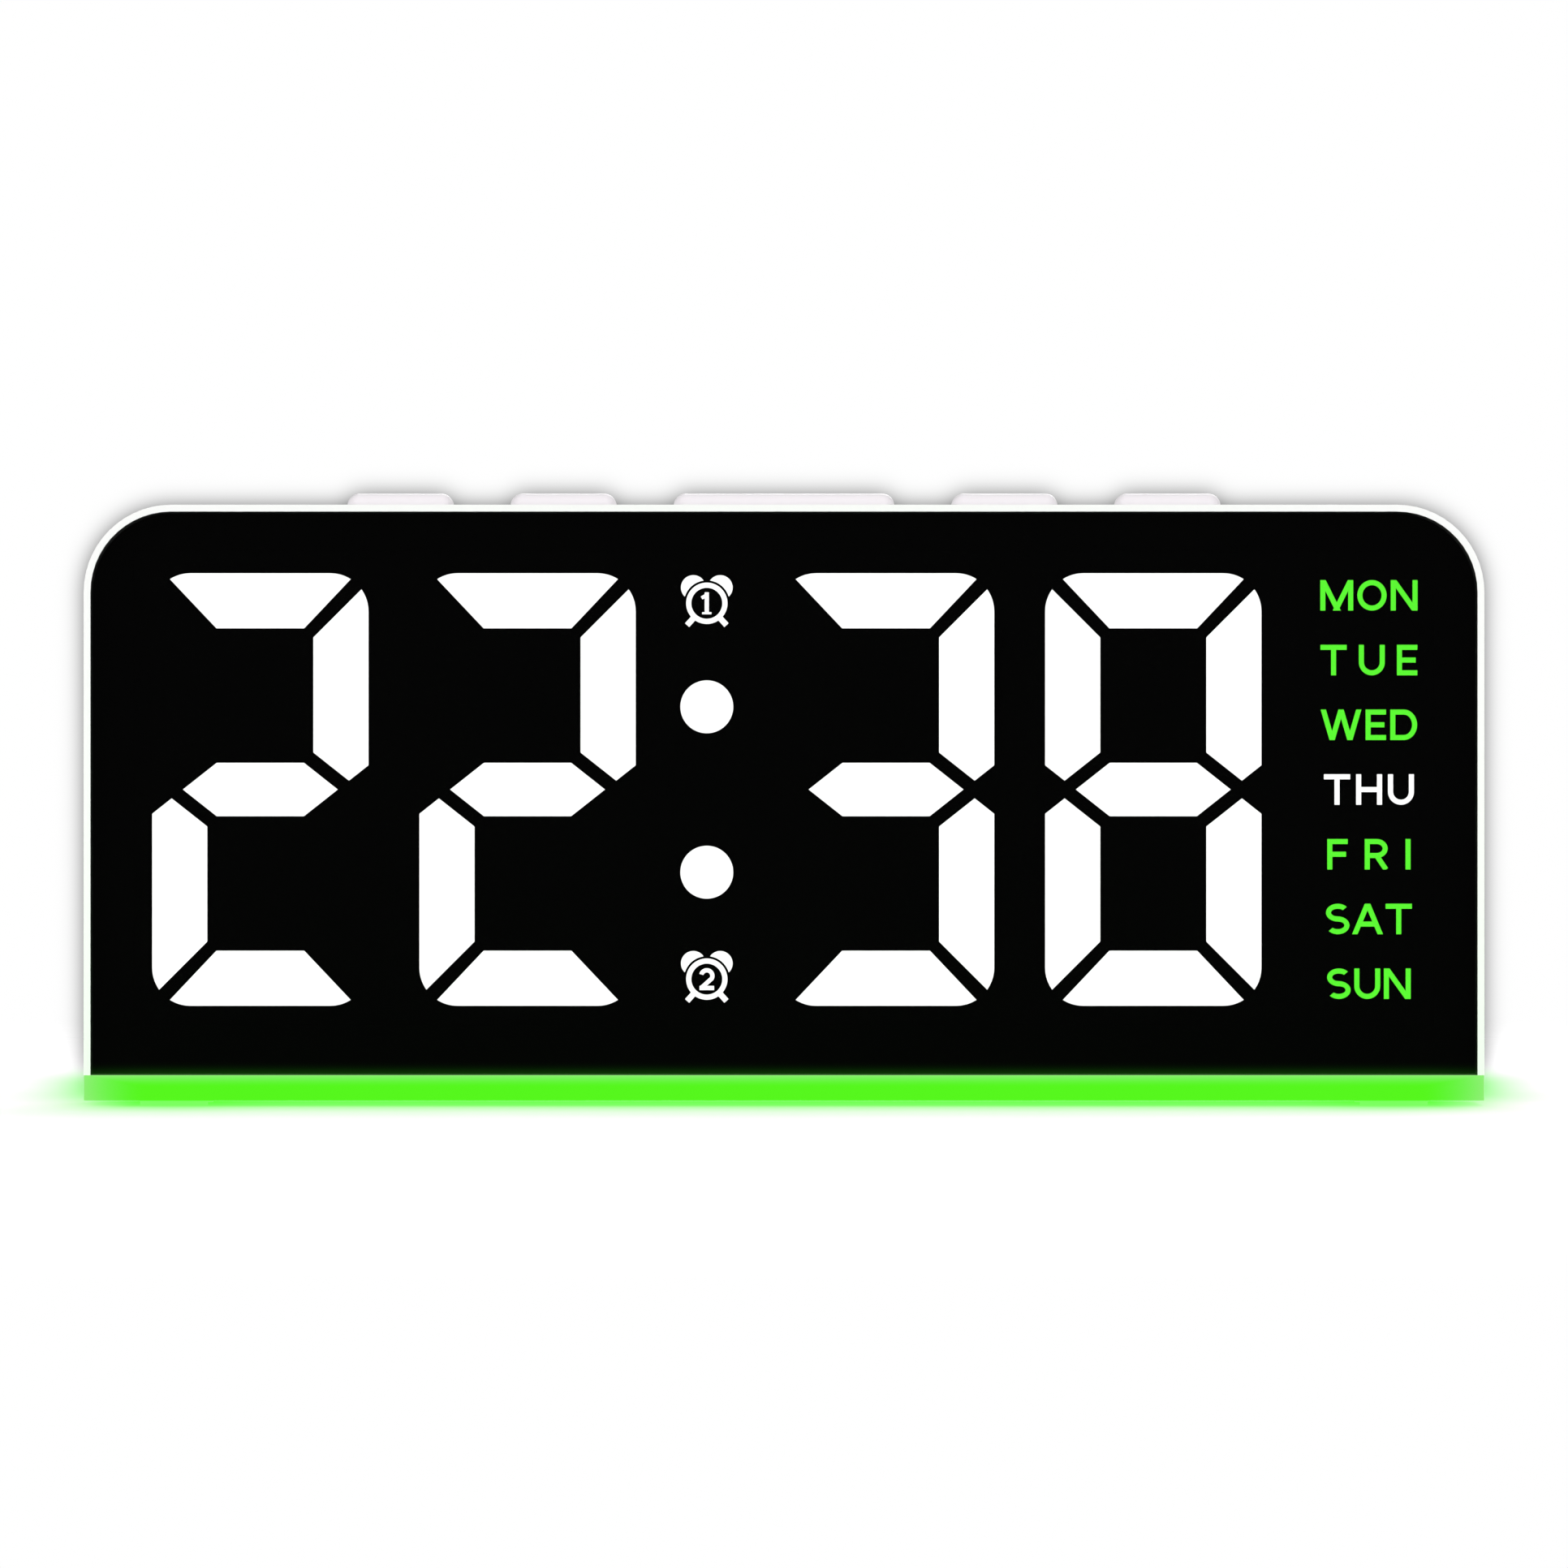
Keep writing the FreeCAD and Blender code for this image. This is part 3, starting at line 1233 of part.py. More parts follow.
def chip(kind, middle_x, middle_z):
    """A moulded chip on the back of the display board, with a row of pins on its two sides."""
    width, height, rise = (value(f"{kind}_{size}") for size in ("width", "height", "rise"))
    pins, reach, back = int(value(f"{kind}_pins")), value("chip_pin_reach"), value("board_back")
    pieces = [block(middle_x - width / 2, middle_x + width / 2, back, back + rise,
                    middle_z - height / 2, middle_z + height / 2)]
    pitch = width / pins
    for number in range(pins):
        pin_x = middle_x + (number - (pins - 1) / 2) * pitch
        pieces.append(block(pin_x - pitch / 5, pin_x + pitch / 5, back, back + rise / 3,
                            middle_z - height / 2 - reach, middle_z + height / 2 + reach))
    return joined(pieces)


def make_board_components():
    """What stands on the back of the display board: two LED drivers, the processor, the crystal,
    the smoothing capacitors and the header for the lead."""
    back = value("board_back")
    middle_z = value("display_middle")
    chips = [chip("driver_chip", side * value("driver_chip_place"), middle_z) for side in (-1, 1)]
    chips.append(chip("processor", value("processor_place"), middle_z + value("processor_lift")))

    can_x, can_z = value("crystal_place"), middle_z + value("crystal_lift")
    end_radius, rise = value("crystal_thickness") / 2, value("crystal_rise")
    reach = value("crystal_width") / 2 - end_radius
    can = [block(can_x - reach, can_x + reach, back, back + rise,
                 can_z - end_radius, can_z + end_radius)]
    can += [rod(Vector(can_x + side * reach, back, can_z), end_radius, rise, ALONG_Y)
            for side in (-1, 1)]

    outer, low = value("capacitor_place"), middle_z - value("capacitor_drop")
    capacitors = [rod(Vector(place, back, low), value("capacitor_radius"),
                      value("capacitor_rise"), ALONG_Y)
                  for place in (-outer, value("capacitor_pitch") - outer, outer)]

    width, height = value("header_width"), value("header_height")
    header_z = middle_z - value("header_drop")
    header = block(-width / 2, width / 2, back, back + value("header_rise"),
                   header_z - height / 2, header_z + height / 2)
    return [solids_node("driver_chips", chips), solids_node("crystal", [joined(can)]),
            solids_node("capacitors", capacitors), solids_node("board_header", [header])]


# ---------------------------------------------------------------- keys and their board

def make_key(name):
    """A key cap: a rounded block that stands proud of the case, a collar that stops it under the
    top wall and a stem down to its switch."""
    body = new_body(name)
    cap = sketch_on(body, "XY_Plane", "layout.collar_top")
    add_key_rectangle(cap, name, "0")
    block_feature = pad(body, cap, "layout.top + sizes.key_rise - layout.collar_top")
    fillet(body, block_feature, "sizes.key_edge_radius",
           lambda edge, middle: runs_along(edge, ALONG_Z)
           or near(middle.z, value("top") + value("key_rise")))
    collar = sketch_on(body, "XY_Plane", "layout.collar_low")
    add_key_rectangle(collar, name, "sizes.key_collar")
    pad(body, collar, "sizes.key_collar_thickness")
    stem = sketch_on(body, "XY_Plane", "layout.plunger_top")
    place, _ = KEYS[name]
    half = "sizes.key_stem / 2"
    add_rectangle(stem, f"{place} - {half}", f"{place} + {half}",
                  f"layout.key_place_y - {half}", f"layout.key_place_y + {half}")
    pad(body, stem, "layout.collar_low - layout.plunger_top")
    return body


def key_middles():
    """Where the middles of the keys are across the case, from left to right."""
    inner, outer = value("inner_key_place"), value("outer_key_place")
    return [-outer, -inner, 0, inner, outer]


def make_switches():
    """A tact switch under each key: a square housing, a snap dome and a round plunger."""
    middle_y = value("key_place_y")
    low, top = value("key_board_top"), value("switch_top")
    dome_low = low + value("switch_floor")
    bore = value("plunger_radius") + value("plunger_gap")
    half = value("switch_width") / 2
    parts, housings, domes = [], [], []
    for name, middle_x in zip(KEYS, key_middles()):
        housing = block(middle_x - half, middle_x + half, middle_y - half, middle_y + half, low, top)
        hole = rod(Vector(middle_x, middle_y, dome_low), bore, top - dome_low, ALONG_Z)
        housings.append(housing.cut(hole))
        domes.append(rod(Vector(middle_x, middle_y, dome_low), value("dome_radius"),
                         value("dome_thickness"), ALONG_Z))
        plunger = rod(Vector(middle_x, middle_y, value("plunger_low")), value("plunger_radius"),
                      value("plunger_top") - value("plunger_low"), ALONG_Z)
        parts.append(solids_node(name.replace("button", "plunger"), [plunger]))
    parts.append(solids_node("switch_housings", housings))
    parts.append(solids_node("switch_domes", domes))
    return parts


def make_key_board():
    body = new_body("key_board")
    outline = sketch_on(body, "XY_Plane", "layout.key_board_low")
    add_rectangle(outline, "-layout.key_board_half_width", "layout.key_board_half_width",
                  "layout.key_place_y - sizes.key_board_depth / 2",
                  "layout.key_place_y + sizes.key_board_depth / 2")
    pad(body, outline, "sizes.board_thickness")
    holes = sketch_on(body, "XY_Plane", "layout.key_board_top")
    add_key_post_circles(holes, "sizes.screw_shank_radius + sizes.screw_hole_gap")
    pocket(body, holes, "sizes.board_thickness")
    return body


# ---------------------------------------------------------------- screws

def screw(seat, along, reach):
    """A pan head screw: its head stands on the seat and its shank runs along the direction."""
    head = rod(seat, value("screw_head_radius"), value("screw_head_height"), along * -1)
    shank = rod(seat, value("screw_shank_radius"), reach, along)
    crown = seat - along * value("screw_head_height")
    wide, narrow = value("screw_head_radius") * 1.1, value("screw_head_radius") / 5
    side = Vector(0, 0, 1) if abs(along.z) < 0.5 else Vector(0, 1, 0)
    cross = side.cross(along)
    slots = []
    for first, second in ((side, cross), (cross, side)):
        corner = crown - first * (wide / 2) - second * narrow
        face = Part.Face(Part.makePolygon([corner, corner + first * wide,
                                           corner + first * wide + second * (2 * narrow),
                                           corner + second * (2 * narrow), corner]))
        slots.append(face.extrude(along * (value("screw_head_height") / 2)))
    return joined([head, shank]).cut(slots)


def make_screws():
    bite, board = value("screw_bite"), value("board_thickness")
    gap = value("screw_end_gap")
    case_screws = [screw(Vector(side * value("case_screw_place"), value("well_depth_y"), height),
                         ALONG_Y * -1, value("case_screw_length") - gap)
                   for side in (-1, 1)
                   for height in (value("case_screw_low"), value("case_screw_high"))]
    display_screws = [screw(Vector(side * value("display_post_x"), value("board_back"), height),
                            ALONG_Y * -1, board + bite - gap)
                      for side in (-1, 1)
                      for height in (value("display_post_low"), value("display_post_high"))]
    key_screws = [screw(Vector(side * place, value("key_place_y"), value("key_board_low")),
                        ALONG_Z, board + bite - gap)
                  for side in (-1, 1)
                  for place in (value("inner_post_place"), value("outer_post_place"))]
    base_reach = board + value("floor_wall") + value("base_screw_bite") - gap
    base_screws = [screw(Vector(side * value("base_screw_x"), along, value("light_board_top")),
                         ALONG_Z * -1, base_reach)
                   for side in (-1, 1)
                   for along in (value("base_screw_front_y"), value("base_screw_back_y"))]
    power_screws = [screw(Vector(value("socket_place_x") + side * value("power_post_place"),
                                 value("power_board_middle_y"), value("power_board_high")),
                          ALONG_Z * -1,
                          board + value("power_board_lift") - value("power_screw_end_gap"))
                    for side in (-1, 1)]
    return [solids_node("case_screws", case_screws),
            solids_node("display_board_screws", display_screws),
            solids_node("key_board_screws", key_screws),
            solids_node("base_screws", base_screws),
            solids_node("power_board_screws", power_screws)]


# ---------------------------------------------------------------- night light, sound and power

def make_night_light_board():
    body = new_body("night_light_board")
    outline = sketch_on(body, "XY_Plane", "layout.floor")
    add_rectangle(outline, "-layout.light_board_half_width", "layout.light_board_half_width",
                  "layout.light_board_front", "layout.light_board_back")
    add_base_screw_circles(outline, "sizes.screw_shank_radius + sizes.screw_hole_gap")
    pad(body, outline, "sizes.board_thickness")
    return body


def make_night_light_leds():
    """Colour LEDs on the underside of the board, over the tray of the base."""
    half, high = value("light_led_size") / 2, value("floor")
    middle_y = (value("light_front_y") + value("light_back_y")) / 2
    count = int(value("light_led_count"))
    leds = []
    for number in range(count):
        middle_x = (number - (count - 1) / 2) * value("light_led_pitch")
        leds.append(block(middle_x - half, middle_x + half, middle_y - half, middle_y + half,
                          high - value("light_led_height"), high))
    return solids_node("night_light_leds", leds)


def make_buzzer():
    """A round sounder against the back wall, with its sound hole at the slots."""
    wall = value("back_wall")
    place = Vector(value("buzzer_place_x"), wall - value("buzzer_height"), value("bay_middle"))
    can = rod(place, value("buzzer_radius"), value("buzzer_height"), ALONG_Y)
    depth = value("buzzer_hole_depth")
    hole = rod(Vector(place.x, wall - depth, place.z), value("buzzer_hole_radius"), depth, ALONG_Y)
    return solids_node("buzzer", [can.cut(hole)])


def make_power_board():
    body = new_body("power_board")
    outline = sketch_on(body, "XY_Plane", "layout.power_board_low")
    add_rectangle(outline, "layout.socket_place_x - sizes.power_board_width / 2",
                  "layout.socket_place_x + sizes.power_board_width / 2",
                  "layout.power_board_back_y - sizes.power_board_depth", "layout.power_board_back_y")
    add_power_post_circles(outline, "sizes.screw_shank_radius + sizes.screw_hole_gap")
    pad(body, outline, "sizes.board_thickness")
    return body


def make_power_socket():
    """The steel shell of a small charging socket, open at the back, with its contact tongue."""
    width, height = value("socket_width"), value("socket_height")
    wall, middle_x, middle_z = value("socket_wall"), value("socket_place_x"), value("socket_z")
    back = value("back_wall")
    front = back - value("socket_depth")

    def pill(shrink, start, end):
        radius = height / 2 - shrink
        reach = (width - height) / 2
        ends = [rod(Vector(middle_x + side * reach, start, middle_z), radius, end - start, ALONG_Y)
                for side in (-1, 1)]
        return joined([block(middle_x - reach, middle_x + reach, start, end,
                             middle_z - radius, middle_z + radius)] + ends)
    shell = pill(0, front, back).cut(pill(wall, front + value("socket_back_wall"), back))
    half = value("tongue_thickness") / 2
    tongue = block(middle_x - width / 3, middle_x + width / 3,
                   front + value("tongue_root"), back - value("tongue_inset"),
                   middle_z - half, middle_z + half)
    return solids_node("power_socket", [joined([shell, tongue])])


# ---------------------------------------------------------------- battery

def cell_rows():
    count = int(value("cell_count"))
    return [value("bay_middle") + (number - (count - 1) / 2) * value("cell_pitch")
            for number in range(count)]


def leaf_spring(start, along, reach):
    """A bent strip that stands on its contact plate and presses on the flat end of a cell."""
    foot, tip = value("leaf_foot"), value("leaf_tip")
    strip, half = value("leaf_thickness"), value("leaf_width") / 2
    outline = [(0, -foot), (reach, -tip), (reach, tip), (0, foot), (0, foot - strip),
               (reach - strip, tip - strip), (reach - strip, strip - tip), (0, strip - foot)]
    points = [start + along * out + ALONG_Y * side - ALONG_Z * half for out, side in outline]
    return polygon(points).extrude(ALONG_Z * (2 * half))


def make_battery():
    """Cells that lie side by side with their ends turned about, a contact plate at each end and a
    leaf spring at each negative end."""
    radius, length, nub = value("cell_radius"), value("cell_length"), value("cell_nub")
    middle_y, wall = value("cell_y"), value("bay_half_width")
    plate_size, thickness = value("plate_size") / 2, value("plate_thickness")
    cells, plates, springs = [], [], []
    for number, row_z in enumerate(cell_rows()):
        side = 1 if number % 2 == 0 else -1
        along = ALONG_X * side
        tip = Vector(side * (wall - thickness), middle_y, row_z)
        nub_start = tip - along * nub
        can_start = nub_start - along * (length - nub)
        cells.append(joined([rod(can_start, radius, length - nub, along),
                             rod(nub_start, radius / 2.6, nub, along)]))
        for end in (-1, 1):
            inner, outer = sorted((end * (wall - thickness), end * wall))
            plates.append(block(inner, outer, middle_y - plate_size, middle_y + plate_size,
                                row_z - plate_size / 1.6, row_z + plate_size / 1.6))
        start = Vector(-side * (wall - thickness), middle_y, row_z)
        springs.append(leaf_spring(start, along, 2 * wall - 2 * thickness - length))
    return [solids_node("battery_cells", cells), solids_node("battery_plates", plates),
            solids_node("battery_springs", springs)]


# ---------------------------------------------------------------- the whole clock

def make_all():
    parts = [make_front_shell(), make_front_lens(), make_lens_tape(), make_rear_cover(),
             make_battery_door(), make_light_base(), make_rubber_feet()]
    parts += make_display()
    parts.append(make_display_board())
    parts += make_board_components()
    parts += [make_key(name) for name in KEYS]
    parts += make_switches()
    parts.append(make_key_board())
    parts += make_screws()
    parts += [make_night_light_board(), make_night_light_leds(), make_buzzer(),
              make_power_board(), make_power_socket()]
    parts += make_battery()
    return parts


def check(parts):
    """Stops before anything is written if an object failed or a sub-part has no sound shape."""
    document.recompute()
    for item in document.Objects:
        if "Invalid" in item.State or "Error" in item.State:
            raise RuntimeError(f"{item.Name} failed: {item.State}")
    for part in parts:
        if part.Shape.isNull() or not part.Shape.isValid():
            raise RuntimeError(f"{part.Label} has no sound shape")


def export(parts):
    os.makedirs("parts", exist_ok=True)
    for part in parts:
        part.Shape.exportStep(f"parts/{part.Label}.step")


clock_parts = make_all()
check(clock_parts)
export(clock_parts)
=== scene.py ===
import bpy
import math
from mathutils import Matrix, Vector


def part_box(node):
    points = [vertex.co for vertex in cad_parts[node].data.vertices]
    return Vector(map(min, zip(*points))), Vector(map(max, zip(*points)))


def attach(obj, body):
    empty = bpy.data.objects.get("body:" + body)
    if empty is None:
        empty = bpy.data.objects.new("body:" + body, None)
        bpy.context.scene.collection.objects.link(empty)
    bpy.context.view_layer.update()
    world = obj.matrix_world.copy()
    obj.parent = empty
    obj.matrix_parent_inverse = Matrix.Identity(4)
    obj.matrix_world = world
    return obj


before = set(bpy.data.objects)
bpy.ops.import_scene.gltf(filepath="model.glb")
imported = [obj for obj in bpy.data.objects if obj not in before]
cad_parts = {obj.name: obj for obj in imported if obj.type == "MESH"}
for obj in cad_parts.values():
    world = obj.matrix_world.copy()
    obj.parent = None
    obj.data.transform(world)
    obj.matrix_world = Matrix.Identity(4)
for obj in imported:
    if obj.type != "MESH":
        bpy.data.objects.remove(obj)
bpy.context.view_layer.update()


# The view.
# The clock is seen square on from well back, as in a catalogue, so its sides don't show. The lens
# of the camera is long enough that the case fills nine tenths of the square frame.
case_low, case_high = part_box("front_shell")
face_y = case_low[1]
face_width = case_high[0] - case_low[0]
stand_off = 3.0
frame_share = 1726 / 1932
eye_height = 0.0379
sensor_width = 36
camera_data = bpy.data.cameras.new("camera")
camera_data.sensor_width = sensor_width
camera_data.lens = sensor_width * stand_off * frame_share / face_width
camera_data.clip_start = 0.05
camera_data.clip_end = 20
camera = bpy.data.objects.new("camera", camera_data)
camera.location = (0, face_y - stand_off, eye_height)
camera.rotation_euler = (math.radians(90), 0, 0)
bpy.context.scene.collection.objects.link(camera)
bpy.context.scene.camera = camera
bpy.context.scene.view_settings.view_transform = "Standard"
bpy.context.scene.view_settings.look = "None"


# The room.
# A pale table top that fades into a white surround, with soft boxes in front on both sides, above
# and behind. The two in front leave no reflection, and it is dark behind the camera, so the smoked
# lens has nothing bright to mirror.
def new_material(name):
    """A new material, its tree of nodes, and its shader, which is all that it starts with."""
    material = bpy.data.materials.new(name)
    material.use_nodes = True
    tree = material.node_tree
    tree.nodes.clear()
    output = tree.nodes.new("ShaderNodeOutputMaterial")
    shader = tree.nodes.new("ShaderNodeBsdfPrincipled")
    tree.links.new(shader.outputs[0], output.inputs[0])
    return material, tree, shader


def place_on(tree):
    """The place of each point on its piece, in metres."""
    return tree.nodes.new("ShaderNodeTexCoord").outputs["Object"]


def coordinates(tree, vector):
    node = tree.nodes.new("ShaderNodeSeparateXYZ")
    tree.links.new(vector, node.inputs[0])
    return node.outputs


def length(tree, vector):
    node = tree.nodes.new("ShaderNodeVectorMath")
    node.operation = "LENGTH"
    tree.links.new(vector, node.inputs[0])
    return node.outputs["Value"]


def reckon(tree, operation, first, second=0, clamp=False):
    """Two parts, each a number or a socket of the tree, added, multiplied or the like."""
    node = tree.nodes.new(tree.bl_idname.replace("Tree", "Math"))
    node.operation = operation
    node.use_clamp = clamp
    for socket, part in zip(node.inputs, (first, second)):
        if isinstance(part, (int, float)):
            socket.default_value = part
        else:
            tree.links.new(part, socket)
    return node.outputs[0]


def carried_over(tree, value, start=(0, 1), end=(0, 1), smooth=False):
    """The value moved from the range that it starts in to the one that it ends in."""
    node = tree.nodes.new("ShaderNodeMapRange")
    if smooth:
        node.interpolation_type = "SMOOTHSTEP"
    for name, number in zip(("From Min", "From Max", "To Min", "To Max"), (*start, *end)):
        node.inputs[name].default_value = number
    tree.links.new(value, node.inputs["Value"])
    return node.outputs["Result"]


def blend(tree, first, second, share):
    """One colour where the share is 0, the other where it is 1. Each is plain or a socket."""
    node = tree.nodes.new("ShaderNodeMix")
    node.data_type = "RGBA"
    for name, colour in (("A", first), ("B", second)):
        if isinstance(colour, tuple):
            node.inputs[name].default_value = (*colour, 1)
        else:
            tree.links.new(colour, node.inputs[name])
    tree.links.new(share, node.inputs["Factor"])
    return node.outputs["Result"]


def noise(tree, scale, detail=2, place=None):
    """Soft random patches, so many to the metre."""
    node = tree.nodes.new("ShaderNodeTexNoise")
    node.inputs["Scale"].default_value = scale
    node.inputs["Detail"].default_value = detail
    if place is not None:
        tree.links.new(place, node.inputs["Vector"])
    return node.outputs["Fac"]


# The night light's green, painted as a pool of light on the table and as a bloom over the picture.
painted_glow_green = (0.093, 0.9, 0.0144)
painted_glow_strength = 0.72
painted_glow_reach = 0.058
painted_glow_inset = 0.0055
painted_glow_loss_past_ends = 7


def beyond(tree, coordinate, edge):
    """How far a point lies outside the clock's footprint along one axis."""
    return reckon(tree, "MAXIMUM", reckon(tree, "SUBTRACT", reckon(tree, "ABSOLUTE", coordinate), edge))


def painted_night_light_pool(tree, place):
    """How much of the table's colour is painted green light from the night light: it dies away with the
    distance from the clock, soonest past its two short sides."""
    base_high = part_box("light_base")[1]
    point = coordinates(tree, place)
    past_ends = beyond(tree, point["X"], base_high.x - painted_glow_inset)
    away = tree.nodes.new("ShaderNodeCombineXYZ")
    tree.links.new(reckon(tree, "MULTIPLY", past_ends, painted_glow_loss_past_ends), away.inputs["X"])
    tree.links.new(beyond(tree, point["Y"], base_high.y), away.inputs["Y"])
    decay = reckon(tree, "DIVIDE", length(tree, away.outputs[0]), -painted_glow_reach)
    return reckon(tree, "MULTIPLY", reckon(tree, "EXPONENT", decay), painted_glow_strength)


def table_top(half_width, clear_within, gone_beyond, own_light):
    """A square sheet that gives light of its own and fades away between the two distances."""
    material, tree, shader = new_material("pale_table_top")
    place = place_on(tree)
    fade = carried_over(tree, length(tree, place), (clear_within, gone_beyond), (1, 0), smooth=True)
    tree.links.new(fade, shader.inputs["Alpha"])
    tones = blend(tree, (0.6, 0.6, 0.603), (0.62, 0.62, 0.62), noise(tree, 180))
    # Painted light: the night light's green pool is painted into the table's colour and its own light.
    tones_with_painted_glow = blend(tree, tones, painted_glow_green, painted_night_light_pool(tree, place))
    tree.links.new(tones_with_painted_glow, shader.inputs["Base Color"])
    tree.links.new(tones_with_painted_glow, shader.inputs["Emission Color"])
    shader.inputs["Emission Strength"].default_value = own_light
    shader.inputs["Roughness"].default_value = 0.7
    mesh = bpy.data.meshes.new("table_top")
    corners = [(x * half_width, y * half_width, 0) for x, y in ((-1, -1), (1, -1), (1, 1), (-1, 1))]
    mesh.from_pydata(corners, [], [(0, 1, 2, 3)])
    mesh.materials.append(material)
    sheet = bpy.data.objects.new("table_top", mesh)
    sheet.visible_glossy = False
    bpy.context.scene.collection.objects.link(sheet)
    return sheet


def soft_box(name, place, size, power, colour=(1, 1, 1), mirrored=True):
    """A square lamp that faces the middle of the clock, and shows in its gloss or not."""
    data = bpy.data.lights.new(name, "AREA")
    data.size = size
    data.energy = power
    data.color = colour
    light = bpy.data.objects.new(name, data)
    light.location = place
    aim = light.location.copy()
    aim.z -= eye_height
    light.rotation_euler = aim.to_track_quat("Z", "Y").to_euler()
    light.visible_camera = False
    light.visible_glossy = mirrored
    bpy.context.scene.collection.objects.link(light)


sheet = table_top(half_width=1.2, clear_within=0.25, gone_beyond=1.1, own_light=0.98)
faint_rose = (1, 0.945, 0.985)
soft_box("soft_box_left", (-1.3, -1.2, 0.8), 0.9, 22.8, faint_rose, mirrored=False)
soft_box("soft_box_right", (1.3, -1.2, 0.72), 0.9, 21.2, faint_rose, mirrored=False)
soft_box("soft_box_top", (0, 0.1, 1.7), 1.2, 3)
soft_box("soft_box_back", (0.3, 1.6, 0.9), 0.9, 11)

world = bpy.data.worlds.new("surround")
bpy.context.scene.world = world
world.use_nodes = True
sky = world.node_tree
sky.nodes.clear()
backdrop = sky.nodes.new("ShaderNodeBackground")
backdrop.inputs["Color"].default_value = (1, 1, 1, 1)
room_light = sky.nodes.new("ShaderNodeBackground")
direction = coordinates(sky, sky.nodes.new("ShaderNodeTexCoord").outputs["Generated"])
dark_behind_camera = carried_over(sky, direction["Y"], (-0.75, 0.1), (0.004, 0.3))
sky.links.new(dark_behind_camera, room_light.inputs["Strength"])
chosen = sky.nodes.new("ShaderNodeMixShader")
sky.links.new(sky.nodes.new("ShaderNodeLightPath").outputs["Is Camera Ray"], chosen.inputs["Fac"])
sky.links.new(room_light.outputs[0], chosen.inputs[1])
sky.links.new(backdrop.outputs[0], chosen.inputs[2])
sky.links.new(chosen.outputs[0], sky.nodes.new("ShaderNodeOutputWorld").inputs[0])


# Case mouldings: front shell, rear cover and battery door.
# White ABS, moulded in tools with a fine spark finish, so the skin is matt with a faint even
# grain. The two shells meet at a seam behind the keys and are held by four screws from behind.
def paint_shade_in_creases(tree, colour, reach):
    """The colour with painted shade, darker where the surface is hemmed in, as in a seam or beside a key.
    """
    painted_crease_shade = tree.nodes.new("ShaderNodeAmbientOcclusion")
    painted_crease_shade.samples = 8
    painted_crease_shade.inputs["Distance"].default_value = reach
    depth = carried_over(tree, painted_crease_shade.outputs["AO"], (0.3, 0.9), (0.85, 0))
    return blend(tree, colour, (0.1, 0.1, 0.1), depth)


def raised(tree, shader, height, depth, strength=1):
    """Gives the skin of a material fine hills of this depth."""
    bump = tree.nodes.new("ShaderNodeBump")
    bump.inputs["Strength"].default_value = strength
    bump.inputs["Distance"].default_value = depth
    tree.links.new(height, bump.inputs["Height"])
    tree.links.new(bump.outputs["Normal"], shader.inputs["Normal"])


def moulded(name, light, dark, grain, depth, roughness, sheen_of_skin=0.5, painted_crease_shade=0):
    """A moulded plastic: slow drifts between two tones, and a skin with a fine grain, which has so
    many hills to the metre and is so many metres deep."""
    material, tree, shader = new_material(name)
    place = place_on(tree)
    colour = blend(tree, light, dark, noise(tree, 14, 3, place))
    # Painted shade: where the surface is hemmed in within this reach, the colour is darkened.
    if painted_crease_shade:
        colour = paint_shade_in_creases(tree, colour, painted_crease_shade)
    tree.links.new(colour, shader.inputs["Base Color"])
    skin = noise(tree, grain, 2, place)
    polish = carried_over(tree, skin, end=(roughness - 0.06, roughness + 0.06))
    tree.links.new(polish, shader.inputs["Roughness"])
    raised(tree, shader, skin, depth, 0.35)
    shader.inputs["Specular IOR Level"].default_value = sheen_of_skin
    return material


def dress(material, *nodes):
    for name in nodes:
        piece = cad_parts[name]
        piece.data.materials.clear()
        piece.data.materials.append(material)


def outer_seam_corners(mesh, seam_y):
    """The corners of a shell's outer edge where it meets the other shell."""
    touching, sideways, away = 0.00001, 0.1, 0.01
    corners = set()
    for face in mesh.polygons:
        on_seam = [i for i in face.vertices if abs(mesh.vertices[i].co.y - seam_y) < touching]
        outward = face.normal.x * face.center.x + face.normal.z * (face.center.z - eye_height)
        if abs(face.normal.y) < sideways and outward > away:
            corners.update(on_seam)
    return sorted(corners)


def groove(width, seam_y, *nodes):
    """Breaks the outer edge of each shell at the seam, which leaves a fine V round the case."""
    for name in nodes:
        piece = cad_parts[name]
        seam = piece.vertex_groups.new(name="seam")
        seam.add(outer_seam_corners(piece.data, seam_y), 1, "REPLACE")
        joined = piece.modifiers.new("joined_faces", "WELD")
        joined.merge_threshold = 0.000001
        broken = piece.modifiers.new("broken_edge", "BEVEL")
        broken.limit_method = "VGROUP"
        broken.vertex_group = "seam"
        broken.width = width
        broken.segments = 1
        broken.use_clamp_overlap = False
        crisp = piece.modifiers.new("crisp_corners", "EDGE_SPLIT")
        crisp.split_angle = math.radians(30)


groove_width = 0.00018
# The case gets painted shade in its seam, its creases and beside the keys.
white_abs = moulded("white_abs", (0.86, 0.86, 0.86), (0.82, 0.82, 0.825), grain=2600, depth=0.00006,
                    roughness=0.5, sheen_of_skin=0.3, painted_crease_shade=0.0006)
dress(white_abs, "front_shell", "rear_cover", "battery_door")
groove(groove_width, case_high[1], "front_shell", "rear_cover")


# Keys.
# Five caps of the same white ABS with a smoother satin top, which fingers polish. Each slides in
# its own window of the top wall and rides on the grey nylon plunger of a small switch.
satin_abs = moulded("satin_abs", (0.89, 0.89, 0.89), (0.86, 0.86, 0.863), grain=4200, depth=0.00003,
                    roughness=0.4, sheen_of_skin=0.35)
keys = ("outer_left", "inner_left", "snooze", "inner_right", "outer_right")
dress(satin_abs, *[f"{key}_button" for key in keys])
grey_nylon = moulded("grey_nylon", (0.2, 0.2, 0.21), (0.16, 0.16, 0.17), grain=3000, depth=0.00004,
                     roughness=0.5)
dress(grey_nylon, *[f"{key}_plunger" for key in keys])


